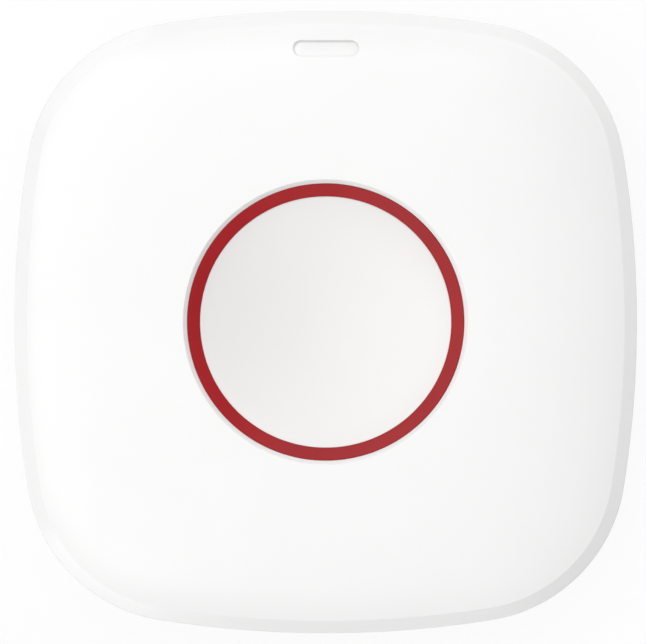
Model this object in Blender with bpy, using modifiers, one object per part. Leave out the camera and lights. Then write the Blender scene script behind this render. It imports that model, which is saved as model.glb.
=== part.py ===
# Wireless panic button: a square, softly bowed casing on a wall bracket, with a dished push
# button and its red ring in the middle and a status light near the top edge.
# Metres, +Z out of the face, +Y towards the status light, origin in the middle of the
# bracket's back, which lies on the wall.

import math

import bmesh
import bpy
from mathutils import Matrix

# Clearances
SEAT_GAP = 0.0003
RUN_GAP = 0.0002
RING_FIT = 0.0001
OVERRUN = 0.001

# Facets round a turned piece, shown and hidden
SHOWN_STEPS = 48
HIDDEN_STEPS = 32

# Casing outline, seen from the front: bowed sides and round corners
CASE_WIDTH = 0.065
SIDE_RADIUS = 0.1088
CORNER_RADIUS = 0.016
SIDE_STEPS = 6
CORNER_STEPS = 10

# Casing walls
CASE_WALL = 0.002
WALL_DRAFT = 0.00025
CHAMFER_WIDTH = 0.0014
CHAMFER_DROP = 0.0012
CROWN_RISE = 0.0006
CROWN_POWER = 2.6
SHOULDER_RISE = 0.0005
SHOULDER_POWER = 9
CROWN_STEPS = 5
CROWN_STEP_POWER = 1.5

# Button well in the front cover
WELL_CLEARANCE = 0.00015
WELL_MOUTH_WIDTH = 0.00034
WELL_MOUTH_DROP = 0.0005
WELL_WALL = 0.0016
WELL_DEPTH = 0.0036

# Button cap and ring
CAP_RADIUS = 0.01316
CAP_THICKNESS = 0.0012
DISH_DEPTH = 0.0016
DISH_STEPS = 6
UNDERSIDE_STEPS = 2
RING_WIDTH = 0.00124
RING_THICKNESS = 0.0009
RING_RISE = 0.0003
RING_EDGE = 0.00012
SKIRT_WALL = 0.0018
FLANGE_WIDTH = 0.0012
FLANGE_THICKNESS = 0.001
ACTUATOR_RADIUS = 0.0026
ACTUATOR_LENGTH = 0.0006
SPRING_RIB_WALL = 0.0006
SPRING_RIB_DROP = 0.0006
BUTTON_RECESS = 0.0005
BUTTON_TRAVEL = 0.0008

# Return spring of the button
SPRING_RADIUS = 0.0061
SPRING_WIRE = 0.0003
SPRING_TURNS = 3
SPRING_TURN_POINTS = 12

# Status window
SLOT_LENGTH = 0.0069
SLOT_HEIGHT = 0.00172
SLOT_INSET = 0.00396
SLOT_END_STEPS = 6
WINDOW_RECESS = 0.0005
WINDOW_FLANGE_REACH = 0.0009
WINDOW_FLANGE_THICKNESS = 0.0008

# Rear cover
REAR_DEPTH = 0.0052
REAR_FLOOR = 0.0018
REAR_INSET = 0.004
REAR_EDGE_STEPS = 5
RIM_STEP = 0.00015
TONGUE_WALL = 0.001
TONGUE_RISE = 0.001
TONGUE_DRAFT = 0.0002
FLOOR_FILLET = 0.0009

# Case screws, from the back into the front cover
CASE_SCREW_INSET = 0.0093
CASE_SCREW_RADIUS = 0.0011
CASE_SCREW_HEAD_RADIUS = 0.0021
CASE_SCREW_HEAD = 0.0013
CASE_SCREW_BITE = 0.0045
CASE_SCREW_RECESS = 0.0024
FRONT_BOSS_RADIUS = 0.003
REAR_BOSS_RADIUS = 0.004
SCREW_STEPS = 16
SCREW_CROWN_SHARE = 0.8

# Board screws, from the front into the rear cover's posts
BOARD_SCREW_INSET = 0.0089
BOARD_SCREW_RADIUS = 0.0008
BOARD_SCREW_HEAD_RADIUS = 0.0017
BOARD_SCREW_HEAD = 0.0009
BOARD_SCREW_BITE = 0.0022
POST_RADIUS = 0.0024

# Circuit board and what it carries, with most places as shares of its half width
BOARD_THICKNESS = 0.0012
BOARD_HOLE_STEPS = 16
SHIELD_WIDTH = 0.008
SHIELD_HEIGHT = 0.0016
SHIELD_SHEET = 0.0002
SHIELD_BOSS_GAP = 0.002
SHIELD_SIDE_SHARE = 0.52
CHIP_WIDTH = 0.005
CHIP_HEIGHT = 0.0009
CHIP_EDGE = 0.00015
CRYSTAL_LENGTH = 0.0032
CRYSTAL_WIDTH = 0.0025
CRYSTAL_HEIGHT = 0.0008
CRYSTAL_EDGE = 0.0004
LED_LENGTH = 0.0028
LED_WIDTH = 0.0014
LED_HEIGHT = 0.0008
LED_EDGE = 0.0002
LED_INSET = 0.0009
AERIAL_LENGTH = 0.016
AERIAL_RADIUS = 0.002
AERIAL_WIRE = 0.0003
AERIAL_TURNS = 9
AERIAL_TURN_POINTS = 8
BOARD_PLACE_SHARES = {
    "microcontroller": (0.5, 0.36),
    "crystal": (0.52, 0.14),
    "antenna_coil": (0.0, -0.8),
    "pairing_switch": (0.0, -0.66),
}

# Long-stroke switch under the button
SWITCH_WIDTH = 0.0062
SWITCH_HEIGHT = 0.0025
SWITCH_EDGE = 0.0003
SWITCH_STEM_RADIUS = 0.00175
SWITCH_STEM_RISE = 0.001
SWITCH_STEM_SINK = 0.0006

# Pairing switch under the board
PAIRING_WIDTH = 0.0036
PAIRING_HEIGHT = 0.0015
PAIRING_EDGE = 0.0002
PAIRING_STEM_RADIUS = 0.00075
PAIRING_STEM_RISE = 0.0007
PAIRING_STEM_SINK = 0.0004
PAIRING_TRAVEL = 0.00025
PAIRING_PIN_RADIUS = 0.0009

# Coin cell and its contacts
CELL_RADIUS = 0.01
CELL_THICKNESS = 0.0032
CELL_CAP_STEP = 0.0014
CELL_CAP_RISE = 0.0004
CELL_EDGE = 0.0004
NEGATIVE_CONTACT_RADIUS = 0.0045
NEGATIVE_CONTACT_EYE = 0.0016
CONTACT_SHEET = 0.0002
CONTACT_SPRING = 0.0004
POSITIVE_CONTACT_WIDTH = 0.005
POSITIVE_CONTACT_FOOT = 0.003

# Battery door: a bayonet cover turned with a coin
DOOR_FLANGE = 0.0012
DOOR_WEB = 0.0019
DOOR_PLUG_WALL = 0.0014
DOOR_LEDGE = 0.0009
DOOR_LEDGE_WIDTH = 0.0015
DOOR_COLLAR_WALL = 0.003
DOOR_COLLAR_SLOPE = 0.0002
DOOR_TAB = 0.0008
DOOR_TAB_REACH = 0.0014
DOOR_TAB_COUNT = 3
DOOR_TAB_HALF_ANGLE = math.radians(13)
DOOR_NOTCH_MARGIN = math.radians(3)
DOOR_TURN = math.radians(45)
DOOR_ARC_STEPS = 6
SEAL_SECTION_RADIUS = 0.00042
SEAL_SECTION_STEPS = 6
SEAL_GROOVE_SIDE = 0.00003
SEAL_GROOVE_DEPTH = 0.00075
COIN_SLOT_LENGTH = 0.014
COIN_SLOT_WIDTH = 0.0018
COIN_SLOT_DEPTH = 0.0008

# Wall bracket
BRACKET_THICKNESS = 0.002
BRACKET_INSET = 0.005
BRACKET_EDGE = 0.0005
HOOK_INSET = 0.0115
HOOK_SPREAD = 0.009
HOOK_WIDTH = 0.0032
HOOK_STEM = 0.0016
HOOK_LIP = 0.0012
HOOK_REACH = 0.003
HOOK_TRAVEL = 0.0035
WALL_SCREW_SPREAD = 0.018
WALL_SCREW_RADIUS = 0.0019
WALL_SCREW_SINK_RADIUS = 0.0037
WALL_SCREW_SINK = 0.0014

# Heights above the wall, from the back to the face
rear_face = BRACKET_THICKNESS + SEAT_GAP
rear_rim = rear_face + REAR_DEPTH
floor_top = rear_face + REAR_FLOOR
door_seat = rear_face + DOOR_FLANGE + SEAT_GAP
ledge_top = door_seat + DOOR_LEDGE
tab_bottom = ledge_top + SEAT_GAP
tab_top = tab_bottom + DOOR_TAB
cell_bottom = rear_face + DOOR_WEB + SEAT_GAP
cell_top = cell_bottom + CELL_THICKNESS
negative_bottom = cell_top + RUN_GAP
board_bottom = negative_bottom + CONTACT_SPRING + CONTACT_SHEET + RUN_GAP
board_top = board_bottom + BOARD_THICKNESS
part_seat = board_top + SEAT_GAP
boss_seat = board_bottom - SEAT_GAP
tongue_top = board_bottom + TONGUE_RISE
front_rim = rear_rim + SEAT_GAP
switch_top = part_seat + SWITCH_HEIGHT
stem_top = switch_top + SWITCH_STEM_RISE
actuator_bottom = stem_top + SEAT_GAP
cap_underside = actuator_bottom + ACTUATOR_LENGTH
dish_bottom = cap_underside + CAP_THICKNESS
ring_top = dish_bottom + DISH_DEPTH + RING_RISE
face_top = ring_top + BUTTON_RECESS
face_edge = face_top - CROWN_RISE - SHOULDER_RISE
wall_top = face_edge - CHAMFER_DROP
well_bottom = face_top - WELL_DEPTH
flange_top = well_bottom - SEAT_GAP

# Radii about the button's axis
ring_radius = CAP_RADIUS + RING_WIDTH
well_radius = ring_radius + WELL_CLEARANCE
well_mouth = well_radius + WELL_MOUTH_WIDTH
plug_bore = CELL_RADIUS + SEAT_GAP
plug_radius = plug_bore + DOOR_PLUG_WALL
door_bore = plug_radius + SEAT_GAP
door_recess = door_bore + DOOR_LEDGE_WIDTH
door_radius = door_recess - SEAT_GAP
collar_radius = door_bore + DOOR_COLLAR_WALL
dish_sphere = (CAP_RADIUS ** 2 + DISH_DEPTH ** 2) / (2 * DISH_DEPTH)

# Places seen from the front
side_bow = SIDE_RADIUS - CASE_WIDTH / 2
arc_span = SIDE_RADIUS - CORNER_RADIUS
corner_centre = (math.sqrt(2 * arc_span ** 2 - side_bow ** 2) - side_bow) / 2
side_turn = math.atan2(corner_centre, corner_centre + side_bow)
corner_reach = corner_centre * math.sqrt(2) + CORNER_RADIUS
boss_place = (corner_reach - CASE_SCREW_INSET) / math.sqrt(2)
slot_place = CASE_WIDTH / 2 - SLOT_INSET
post_place = CASE_WIDTH / 2 - BOARD_SCREW_INSET
hook_place = CASE_WIDTH / 2 - HOOK_INSET
tongue_inset = CASE_WALL + SEAT_GAP
board_inset = tongue_inset + TONGUE_WALL + SEAT_GAP
board_half = CASE_WIDTH / 2 - board_inset
shield_x = -SHIELD_SIDE_SHARE * board_half
shield_y = boss_place - FRONT_BOSS_RADIUS - SHIELD_BOSS_GAP - SHIELD_WIDTH / 2

for old in list(bpy.data.objects):
    bpy.data.objects.remove(old, do_unlink=True)

parts = bpy.data.collections.new("panic_button")
cutters = bpy.data.collections.new("cutters")
bpy.context.scene.collection.children.link(parts)
bpy.context.scene.collection.children.link(cutters)


def finish(piece, colour, roughness, metallic=0.0):
    """Gives a piece its own Principled material."""
    material = bpy.data.materials.new(piece.name)
    material.use_nodes = True
    shader = material.node_tree.nodes["Principled BSDF"]
    shader.inputs["Base Color"].default_value = (*colour, 1.0)
    shader.inputs["Roughness"].default_value = roughness
    shader.inputs["Metallic"].default_value = metallic
    piece.data.materials.append(material)


def add_object(name, mesh):
    """Puts a mesh in the model's collection as a named object."""
    piece = bpy.data.objects.new(name, mesh)
    parts.objects.link(piece)
    return piece


def joint_axis(name, place):
    """Adds an empty on a joint's axis."""
    empty = bpy.data.objects.new(name, None)
    empty.location = place
    parts.objects.link(empty)
    return empty


def hang_on(pieces, empty):
    """Parents pieces to a joint's empty and leaves them where they are."""
    for piece in pieces:
        piece.parent = empty
        piece.matrix_parent_inverse = Matrix.Translation(empty.location).inverted()


def use_as_tool(piece):
    """Turns a piece into a hidden tool of a Boolean."""
    parts.objects.unlink(piece)
    cutters.objects.link(piece)
    piece.hide_render = True
    piece.display_type = "WIRE"


def boolean(piece, tool, operation):
    """Cuts a tool from a piece, or joins it on."""
    step = piece.modifiers.new(tool.name, "BOOLEAN")
    step.operation = operation
    step.solver = "EXACT"
    step.object = tool
    use_as_tool(tool)


def soften(piece, width, steps=1):
    """Rounds the edges of a piece that are sharper than 30 degrees."""
    bevel = piece.modifiers.new("soft_edges", "BEVEL")
    bevel.width = width
    bevel.segments = steps
    bevel.limit_method = "ANGLE"
    bevel.angle_limit = math.radians(30)


def box(name, size, centre):
    """Makes a box from its three sizes and its centre."""
    mesh = bpy.data.meshes.new(name)
    shape = bmesh.new()
    bmesh.ops.create_cube(shape, size=1.0, matrix=Matrix.Diagonal((*size, 1.0)))
    shape.to_mesh(mesh)
    shape.free()
    piece = add_object(name, mesh)
    piece.location = centre
    return piece


def cylinder(name, radius, bottom, top, place=(0.0, 0.0), top_radius=None, steps=SCREW_STEPS):
    """Makes an upright cylinder or cone between two heights."""
    mesh = bpy.data.meshes.new(name)
    shape = bmesh.new()
    upper = radius if top_radius is None else top_radius
    bmesh.ops.create_cone(shape, cap_ends=True, segments=steps, radius1=radius, radius2=upper,
                          depth=top - bottom)
    shape.to_mesh(mesh)
    shape.free()
    piece = add_object(name, mesh)
    piece.location = (*place, (bottom + top) / 2)
    return piece


def turned(name, profile, closed=False, steps=HIDDEN_STEPS):
    """Turns a profile of (radius, height) points, listed down its outer side, about Z."""
    edges = [(index, index + 1) for index in range(len(profile) - 1)]
    if closed:
        edges.append((len(profile) - 1, 0))
    mesh = bpy.data.meshes.new(name)
    mesh.from_pydata([(radius, 0.0, height) for radius, height in profile], edges, [])
    piece = add_object(name, mesh)
    screw = piece.modifiers.new("turn", "SCREW")
    screw.steps = steps
    screw.render_steps = steps
    screw.use_merge_vertices = True
    screw.merge_threshold = 0.000001
    screw.use_smooth_shade = True
    return piece


def lofted(name, rings):
    """Skins rings of equal point counts into a closed band, the last ring back to the first."""
    count = len(rings[0])
    points = [point for ring in rings for point in ring]
    faces = []
    for row in range(len(rings)):
        below = (row + 1) % len(rings)
        for column in range(count):
            beside = (column + 1) % count
            faces.append((row * count + column, row * count + beside,
                          below * count + beside, below * count + column))
    mesh = bpy.data.meshes.new(name)
    mesh.from_pydata(points, [], faces)
    shape = bmesh.new()
    shape.from_mesh(mesh)
    bmesh.ops.recalc_face_normals(shape, faces=shape.faces)
    shape.to_mesh(mesh)
    shape.free()
    return add_object(name, mesh)


def flat(name, outlines, bottom, top, turn=None):
    """Fills outlines, holes included, between two heights, then turns the piece if asked."""
    curve = bpy.data.curves.new(name, "CURVE")
    curve.dimensions = "2D"
    curve.fill_mode = "BOTH"
    curve.extrude = (top - bottom) / 2
    for outline_points in outlines:
        spline = curve.splines.new("POLY")
        spline.points.add(len(outline_points) - 1)
        for point, place in zip(spline.points, outline_points):
            point.co = (*place, 0.0, 1.0)
        spline.use_cyclic_u = True
    return solid_from_curve(name, curve, Matrix.Translation((0.0, 0.0, (bottom + top) / 2)), turn)


def solid_from_curve(name, curve, place, turn=None):
    """Makes a welded mesh object of a curve."""
    source = bpy.data.objects.new(name + "_curve", curve)
    parts.objects.link(source)
    bpy.context.view_layer.update()
    graph = bpy.context.evaluated_depsgraph_get()
    mesh = bpy.data.meshes.new_from_object(source.evaluated_get(graph))
    mesh.name = name
    bpy.data.objects.remove(source, do_unlink=True)
    shape = bmesh.new()
    shape.from_mesh(mesh)
    bmesh.ops.remove_doubles(shape, verts=shape.verts, dist=0.000001)
    bmesh.ops.recalc_face_normals(shape, faces=shape.faces)
    shape.to_mesh(mesh)
    shape.free()
    piece = add_object(name, mesh)
    piece.matrix_world = (turn or Matrix.Identity(4)) @ place
    return piece


def wound(name, points, wire_radius, sides_step, turn=None):
    """Runs a round wire through points."""
    curve = bpy.data.curves.new(name, "CURVE")
    curve.dimensions = "3D"
    curve.bevel_depth = wire_radius
    curve.bevel_resolution = sides_step
    curve.use_fill_caps = True
    spline = curve.splines.new("POLY")
    spline.points.add(len(points) - 1)
    for point, place in zip(spline.points, points):
        point.co = (*place, 1.0)
    return solid_from_curve(name, curve, Matrix.Identity(4), turn)


def outline(inset):
    """Casing outline moved inwards: four bowed sides and four round corners, tangent."""
    points = []
    for quarter in range(4):
        facing = quarter * math.pi / 2
        for step in range(SIDE_STEPS):
            angle = side_turn * (2 * step / SIDE_STEPS - 1)
            along = (SIDE_RADIUS - inset) * math.cos(angle) - side_bow
            across = (SIDE_RADIUS - inset) * math.sin(angle)
            points.append((along, across, facing))
        for step in range(CORNER_STEPS):
            angle = side_turn + (math.pi / 2 - 2 * side_turn) * step / CORNER_STEPS
            along = corner_centre + (CORNER_RADIUS - inset) * math.cos(angle)
            across = corner_centre + (CORNER_RADIUS - inset) * math.sin(angle)
            points.append((along, across, facing))
    return [(along * math.cos(facing) - across * math.sin(facing),
             along * math.sin(facing) + across * math.cos(facing))
            for along, across, facing in points]


def circle(radius, place=(0.0, 0.0), steps=None):
    """Circle of points: at the outline's bearings, or evenly spread when steps are given."""
    if steps is None:
        bearings = [math.atan2(y, x) for x, y in outline(0.0)]
    else:
        bearings = [2 * math.pi * step / steps for step in range(steps)]
    return [(place[0] + radius * math.cos(bearing), place[1] + radius * math.sin(bearing))
            for bearing in bearings]


def pill(length, height, place):
    """Outline of a slot with round ends."""
    points = []
    for side in (1, -1):
        for step in range(SLOT_END_STEPS + 1):
            angle = math.pi * (step / SLOT_END_STEPS - 0.5)
            x = side * ((length - height) / 2 + height / 2 * math.cos(angle))
            y = side * height / 2 * math.sin(angle)
            points.append((place[0] + x, place[1] + y))
    return points


def sector(inner, outer, middle, half_angle):
    """Outline of a ring's sector."""
    bearings = [middle + half_angle * (2 * step / DOOR_ARC_STEPS - 1)
                for step in range(DOOR_ARC_STEPS + 1)]
    outside = [(outer * math.cos(bearing), outer * math.sin(bearing)) for bearing in bearings]
    inside = [(inner * math.cos(bearing), inner * math.sin(bearing)) for bearing in bearings]
    return outside + inside[::-1]


def at_height(points, height):
    """Lifts a flat outline to a height."""
    return [(x, y, height) for x, y in points]


def crown_rise(share):
    """Height of the crowned face over its edge, from the edge (0) over its shoulder to the well (1)."""
    crown = CROWN_RISE * (1 - (1 - share) ** CROWN_POWER)
    return crown + SHOULDER_RISE * (1 - (1 - share) ** SHOULDER_POWER)


def crown_ring(share, drop):
    """Ring of the face, or of the ceiling a wall below it, between its edge and the well."""
    edge = outline(CHAMFER_WIDTH)
    mouth = circle(well_mouth)
    height = face_edge + crown_rise(share) - drop
    return [(a[0] + (b[0] - a[0]) * share, a[1] + (b[1] - a[1]) * share, height)
            for a, b in zip(edge, mouth)]


def screw_places():
    """Places of the four case screws."""
    return [(x * boss_place, y * boss_place) for x, y in ((1, 1), (-1, 1), (-1, -1), (1, -1))]


def board_place(name):
    """Place of a component on the board."""
    share = BOARD_PLACE_SHARES[name]
    return (share[0] * board_half, share[1] * board_half)


def dish_height(radius):
    """Height of the cap's dish, part of a sphere, at a radius."""
    return dish_bottom + dish_sphere - math.sqrt(dish_sphere ** 2 - radius ** 2)


def make_front_cover():
    """Shell with side wall, chamfered rim, crowned face, button well and screw bosses."""
    shares = [(step / CROWN_STEPS) ** CROWN_STEP_POWER for step in range(1, CROWN_STEPS)]
    rings = [at_height(outline(0.0), front_rim),
             at_height(outline(WALL_DRAFT), wall_top),
             at_height(outline(CHAMFER_WIDTH), face_edge)]
    rings += [crown_ring(share, 0.0) for share in shares]
    rings += [at_height(circle(well_mouth), face_top),
              at_height(circle(well_radius), face_top - WELL_MOUTH_DROP),
              at_height(circle(well_radius), well_bottom),
              at_height(circle(well_radius + WELL_WALL), well_bottom),
              at_height(circle(well_radius + WELL_WALL), face_top - CASE_WALL)]
    rings += [crown_ring(share, CASE_WALL) for share in reversed(shares[:-1])]
    rings += [at_height(outline(CASE_WALL), face_edge - CASE_WALL),
              at_height(outline(CASE_WALL), front_rim)]
    cover = lofted("front_cover", rings)
    slot = flat("slot_cut", [pill(SLOT_LENGTH, SLOT_HEIGHT, (0.0, slot_place))],
                face_edge - CASE_WALL - OVERRUN, face_top + OVERRUN)
    boolean(cover, slot, "DIFFERENCE")
    for number, place in enumerate(screw_places(), 1):
        boss = cylinder(f"front_boss_{number}", FRONT_BOSS_RADIUS, boss_seat + SEAT_GAP,
                        face_top - CASE_WALL, place)
        boolean(cover, boss, "UNION")
        hole = cylinder(f"front_boss_hole_{number}", CASE_SCREW_RADIUS + RUN_GAP,
                        boss_seat - OVERRUN, boss_seat + 3 * SEAT_GAP + CASE_SCREW_BITE, place)
        boolean(cover, hole, "DIFFERENCE")
    finish(cover, (0.93, 0.93, 0.925), 0.32)
    return cover


def make_status_window():
    """Light pipe: a pill-shaped column with a fixing flange under the face."""
    column = flat("status_window",
                  [pill(SLOT_LENGTH - 2 * RUN_GAP, SLOT_HEIGHT - 2 * RUN_GAP, (0.0, slot_place))],
                  part_seat + LED_HEIGHT + SEAT_GAP,
                  face_edge + crown_rise(slot_share()) - WINDOW_RECESS)
    reach = 2 * WINDOW_FLANGE_REACH
    flange_height = face_edge - CASE_WALL - SEAT_GAP
    flange = flat("window_flange",
                  [pill(SLOT_LENGTH + reach, SLOT_HEIGHT + reach, (0.0, slot_place))],
                  flange_height - WINDOW_FLANGE_THICKNESS, flange_height)
    boolean(column, flange, "UNION")
    finish(column, (0.88, 0.88, 0.87), 0.25)
    return column


def slot_share():
    """How far the slot lies from the face's edge towards the well."""
    edge = CASE_WIDTH / 2 - CHAMFER_WIDTH
    return (edge - slot_place) / (edge - well_mouth)


def make_rear_cover():
    """Back shell with a rounded edge, battery bay, screw bosses, posts and hook slots."""
    rings = [at_height(circle(door_recess), rear_face)]
    for step in range(REAR_EDGE_STEPS + 1):
        angle = math.pi / 2 * step / REAR_EDGE_STEPS
        inset = RIM_STEP + (REAR_INSET - RIM_STEP) * (1 - math.sin(angle))
        rings.append(at_height(outline(inset), rear_face + REAR_DEPTH * (1 - math.cos(angle))))
    inner = tongue_inset + TONGUE_WALL
    rings += [at_height(outline(tongue_inset), rear_rim),
              at_height(outline(tongue_inset), tongue_top),
              at_height(outline(inner), tongue_top),
              at_height(outline(inner + TONGUE_DRAFT), floor_top + FLOOR_FILLET),
              at_height(outline(inner + TONGUE_DRAFT + FLOOR_FILLET), floor_top),
              at_height(circle(collar_radius), floor_top),
              at_height(circle(collar_radius - DOOR_COLLAR_SLOPE), ledge_top),
              at_height(circle(door_bore), ledge_top),
              at_height(circle(door_bore), door_seat),
              at_height(circle(door_recess), door_seat)]
    cover = lofted("rear_cover", rings)
    root = rear_face + REAR_FLOOR / 2
    for number, place in enumerate(screw_places(), 1):
        boss = cylinder(f"rear_boss_{number}", REAR_BOSS_RADIUS, root, boss_seat, place)
        boolean(cover, boss, "UNION")
        recess = cylinder(f"rear_recess_{number}", CASE_SCREW_HEAD_RADIUS + SEAT_GAP,
                          rear_face - OVERRUN, rear_face + CASE_SCREW_RECESS, place)
        boolean(cover, recess, "DIFFERENCE")
        hole = cylinder(f"rear_hole_{number}", CASE_SCREW_RADIUS + SEAT_GAP,
                        rear_face, boss_seat + OVERRUN, place)
        boolean(cover, hole, "DIFFERENCE")
    for number, side in enumerate((-1, 1), 1):
        place = (side * post_place, 0.0)
        post = cylinder(f"post_{number}", POST_RADIUS, root, boss_seat, place)
        boolean(cover, post, "UNION")
        hole = cylinder(f"post_hole_{number}", BOARD_SCREW_RADIUS + RUN_GAP,
                        boss_seat - BOARD_SCREW_BITE - SEAT_GAP, boss_seat + OVERRUN, place)
        boolean(cover, hole, "DIFFERENCE")
    for number in range(DOOR_TAB_COUNT):
        middle = tab_bearing(number) - DOOR_TURN
        notch = flat(f"door_notch_{number + 1}",
                     [sector(door_bore - SEAT_GAP, plug_radius + DOOR_TAB_REACH + SEAT_GAP,
                             middle, DOOR_TAB_HALF_ANGLE + DOOR_NOTCH_MARGIN)],
                     door_seat - SEAT_GAP, ledge_top + OVERRUN)
        boolean(cover, notch, "DIFFERENCE")
    for number, (x, y) in enumerate(hook_places(), 1):
        length = HOOK_STEM + HOOK_TRAVEL + 2 * SEAT_GAP
        middle = y + HOOK_STEM / 2 + SEAT_GAP - length / 2
        slot = box(f"hook_slot_{number}",
                   (HOOK_WIDTH + 2 * SEAT_GAP, length, REAR_FLOOR + 2 * OVERRUN),
                   (x, middle, rear_face + REAR_FLOOR / 2))
        boolean(cover, slot, "DIFFERENCE")
    pin_hole = cylinder("pin_hole", PAIRING_PIN_RADIUS, rear_face - OVERRUN, floor_top + OVERRUN,
                        board_place("pairing_switch"))
    boolean(cover, pin_hole, "DIFFERENCE")
    finish(cover, (0.9, 0.9, 0.895), 0.4)
    return cover


def tab_bearing(number):
    """Bearing of one of the battery door's tabs."""
    return math.pi / 2 + 2 * math.pi * number / DOOR_TAB_COUNT


def make_battery_door():
    """Bayonet door: a flange, a hollow plug with a seal groove, tabs and a coin slot."""
    web_top = rear_face + DOOR_WEB
    groove_middle = door_seat + DOOR_LEDGE / 2
    groove_half = SEAL_SECTION_RADIUS + SEAL_GROOVE_SIDE
    groove_radius = plug_radius - SEAL_GROOVE_DEPTH
    door = turned("battery_door", [
        (0.0, web_top),
        (plug_bore, web_top),
        (plug_bore, tab_top),
        (plug_radius, tab_top),
        (plug_radius, groove_middle + groove_half),
        (groove_radius, groove_middle + groove_half),
        (groove_radius, groove_middle - groove_half),
        (plug_radius, groove_middle - groove_half),
        (plug_radius, rear_face + DOOR_FLANGE),
        (door_radius, rear_face + DOOR_FLANGE),
        (door_radius, rear_face),
        (0.0, rear_face)])
    for number in range(DOOR_TAB_COUNT):
        tab = flat(f"door_tab_{number + 1}",
                   [sector((plug_bore + plug_radius) / 2, plug_radius + DOOR_TAB_REACH,
                           tab_bearing(number), DOOR_TAB_HALF_ANGLE)], tab_bottom, tab_top)
        boolean(door, tab, "UNION")
    slot = box("coin_slot", (COIN_SLOT_LENGTH, COIN_SLOT_WIDTH, 2 * COIN_SLOT_DEPTH),
               (0.0, 0.0, rear_face))
    boolean(door, slot, "DIFFERENCE")
    finish(door, (0.88, 0.88, 0.875), 0.45)
    return door


def make_battery_door_seal():
    """O-ring in the door's groove."""
    middle_height = door_seat + DOOR_LEDGE / 2
    middle_radius = plug_radius - SEAL_GROOVE_DEPTH + SEAL_SECTION_RADIUS + SEAL_GROOVE_SIDE
    profile = []
    for step in range(SEAL_SECTION_STEPS):
        angle = math.pi / 2 - 2 * math.pi * step / SEAL_SECTION_STEPS
        profile.append((middle_radius + SEAL_SECTION_RADIUS * math.cos(angle),
                        middle_height + SEAL_SECTION_RADIUS * math.sin(angle)))
    seal = turned("battery_door_seal", profile, closed=True)
    finish(seal, (0.03, 0.03, 0.03), 0.7)
    return seal


def make_coin_cell():
    """Flat lithium cell: a can with rounded edges and a smaller raised cap."""
    cap_radius = CELL_RADIUS - CELL_CAP_STEP
    shoulder = cell_top - CELL_CAP_RISE
    cell = turned("coin_cell", [
        (0.0, cell_top),
        (cap_radius, cell_top),
        (cap_radius, shoulder),
        (CELL_RADIUS - CELL_EDGE, shoulder),
        (CELL_RADIUS, shoulder - CELL_EDGE),
        (CELL_RADIUS, cell_bottom + CELL_EDGE),
        (CELL_RADIUS - CELL_EDGE, cell_bottom),
        (0.0, cell_bottom)])
    finish(cell, (0.75, 0.75, 0.76), 0.28, 1.0)
    return cell


def make_battery_contacts():
    """Dished spring washer over the cell and a bent clip on its side."""
    lift = CONTACT_SPRING
    washer = turned("battery_contact_negative", [
        (NEGATIVE_CONTACT_EYE, negative_bottom + CONTACT_SHEET),
        (NEGATIVE_CONTACT_RADIUS, negative_bottom + lift + CONTACT_SHEET),
        (NEGATIVE_CONTACT_RADIUS, negative_bottom + lift),
        (NEGATIVE_CONTACT_EYE, negative_bottom)], closed=True, steps=SCREW_STEPS)
    finish(washer, (0.8, 0.78, 0.72), 0.3, 1.0)
    inner = CELL_RADIUS + SEAT_GAP
    outer = inner + CONTACT_SHEET
    foot_top = boss_seat
    profile = [(inner, tab_top + SEAT_GAP), (outer, tab_top + SEAT_GAP),
               (outer, foot_top - CONTACT_SHEET), (inner + POSITIVE_CONTACT_FOOT,
                                                   foot_top - CONTACT_SHEET),
               (inner + POSITIVE_CONTACT_FOOT, foot_top), (inner, foot_top)]
    upright = Matrix(((1, 0, 0, 0), (0, 0, -1, 0), (0, 1, 0, 0), (0, 0, 0, 1)))
    half = POSITIVE_CONTACT_WIDTH / 2
    clip = flat("battery_contact_positive", [profile], -half, half, upright)
    finish(clip, (0.8, 0.78, 0.72), 0.3, 1.0)
    return washer, clip


def make_circuit_board():
    """Board in the casing's outline, with holes for the bosses and the board screws."""
    holes = [circle(FRONT_BOSS_RADIUS + SEAT_GAP, place, BOARD_HOLE_STEPS)
             for place in screw_places()]
    holes += [circle(BOARD_SCREW_RADIUS + SEAT_GAP, (side * post_place, 0.0), BOARD_HOLE_STEPS)
              for side in (-1, 1)]
    board = flat("circuit_board", [outline(board_inset)] + holes, board_bottom, board_top)
    finish(board, (0.02, 0.16, 0.06), 0.45)
    return board


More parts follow.
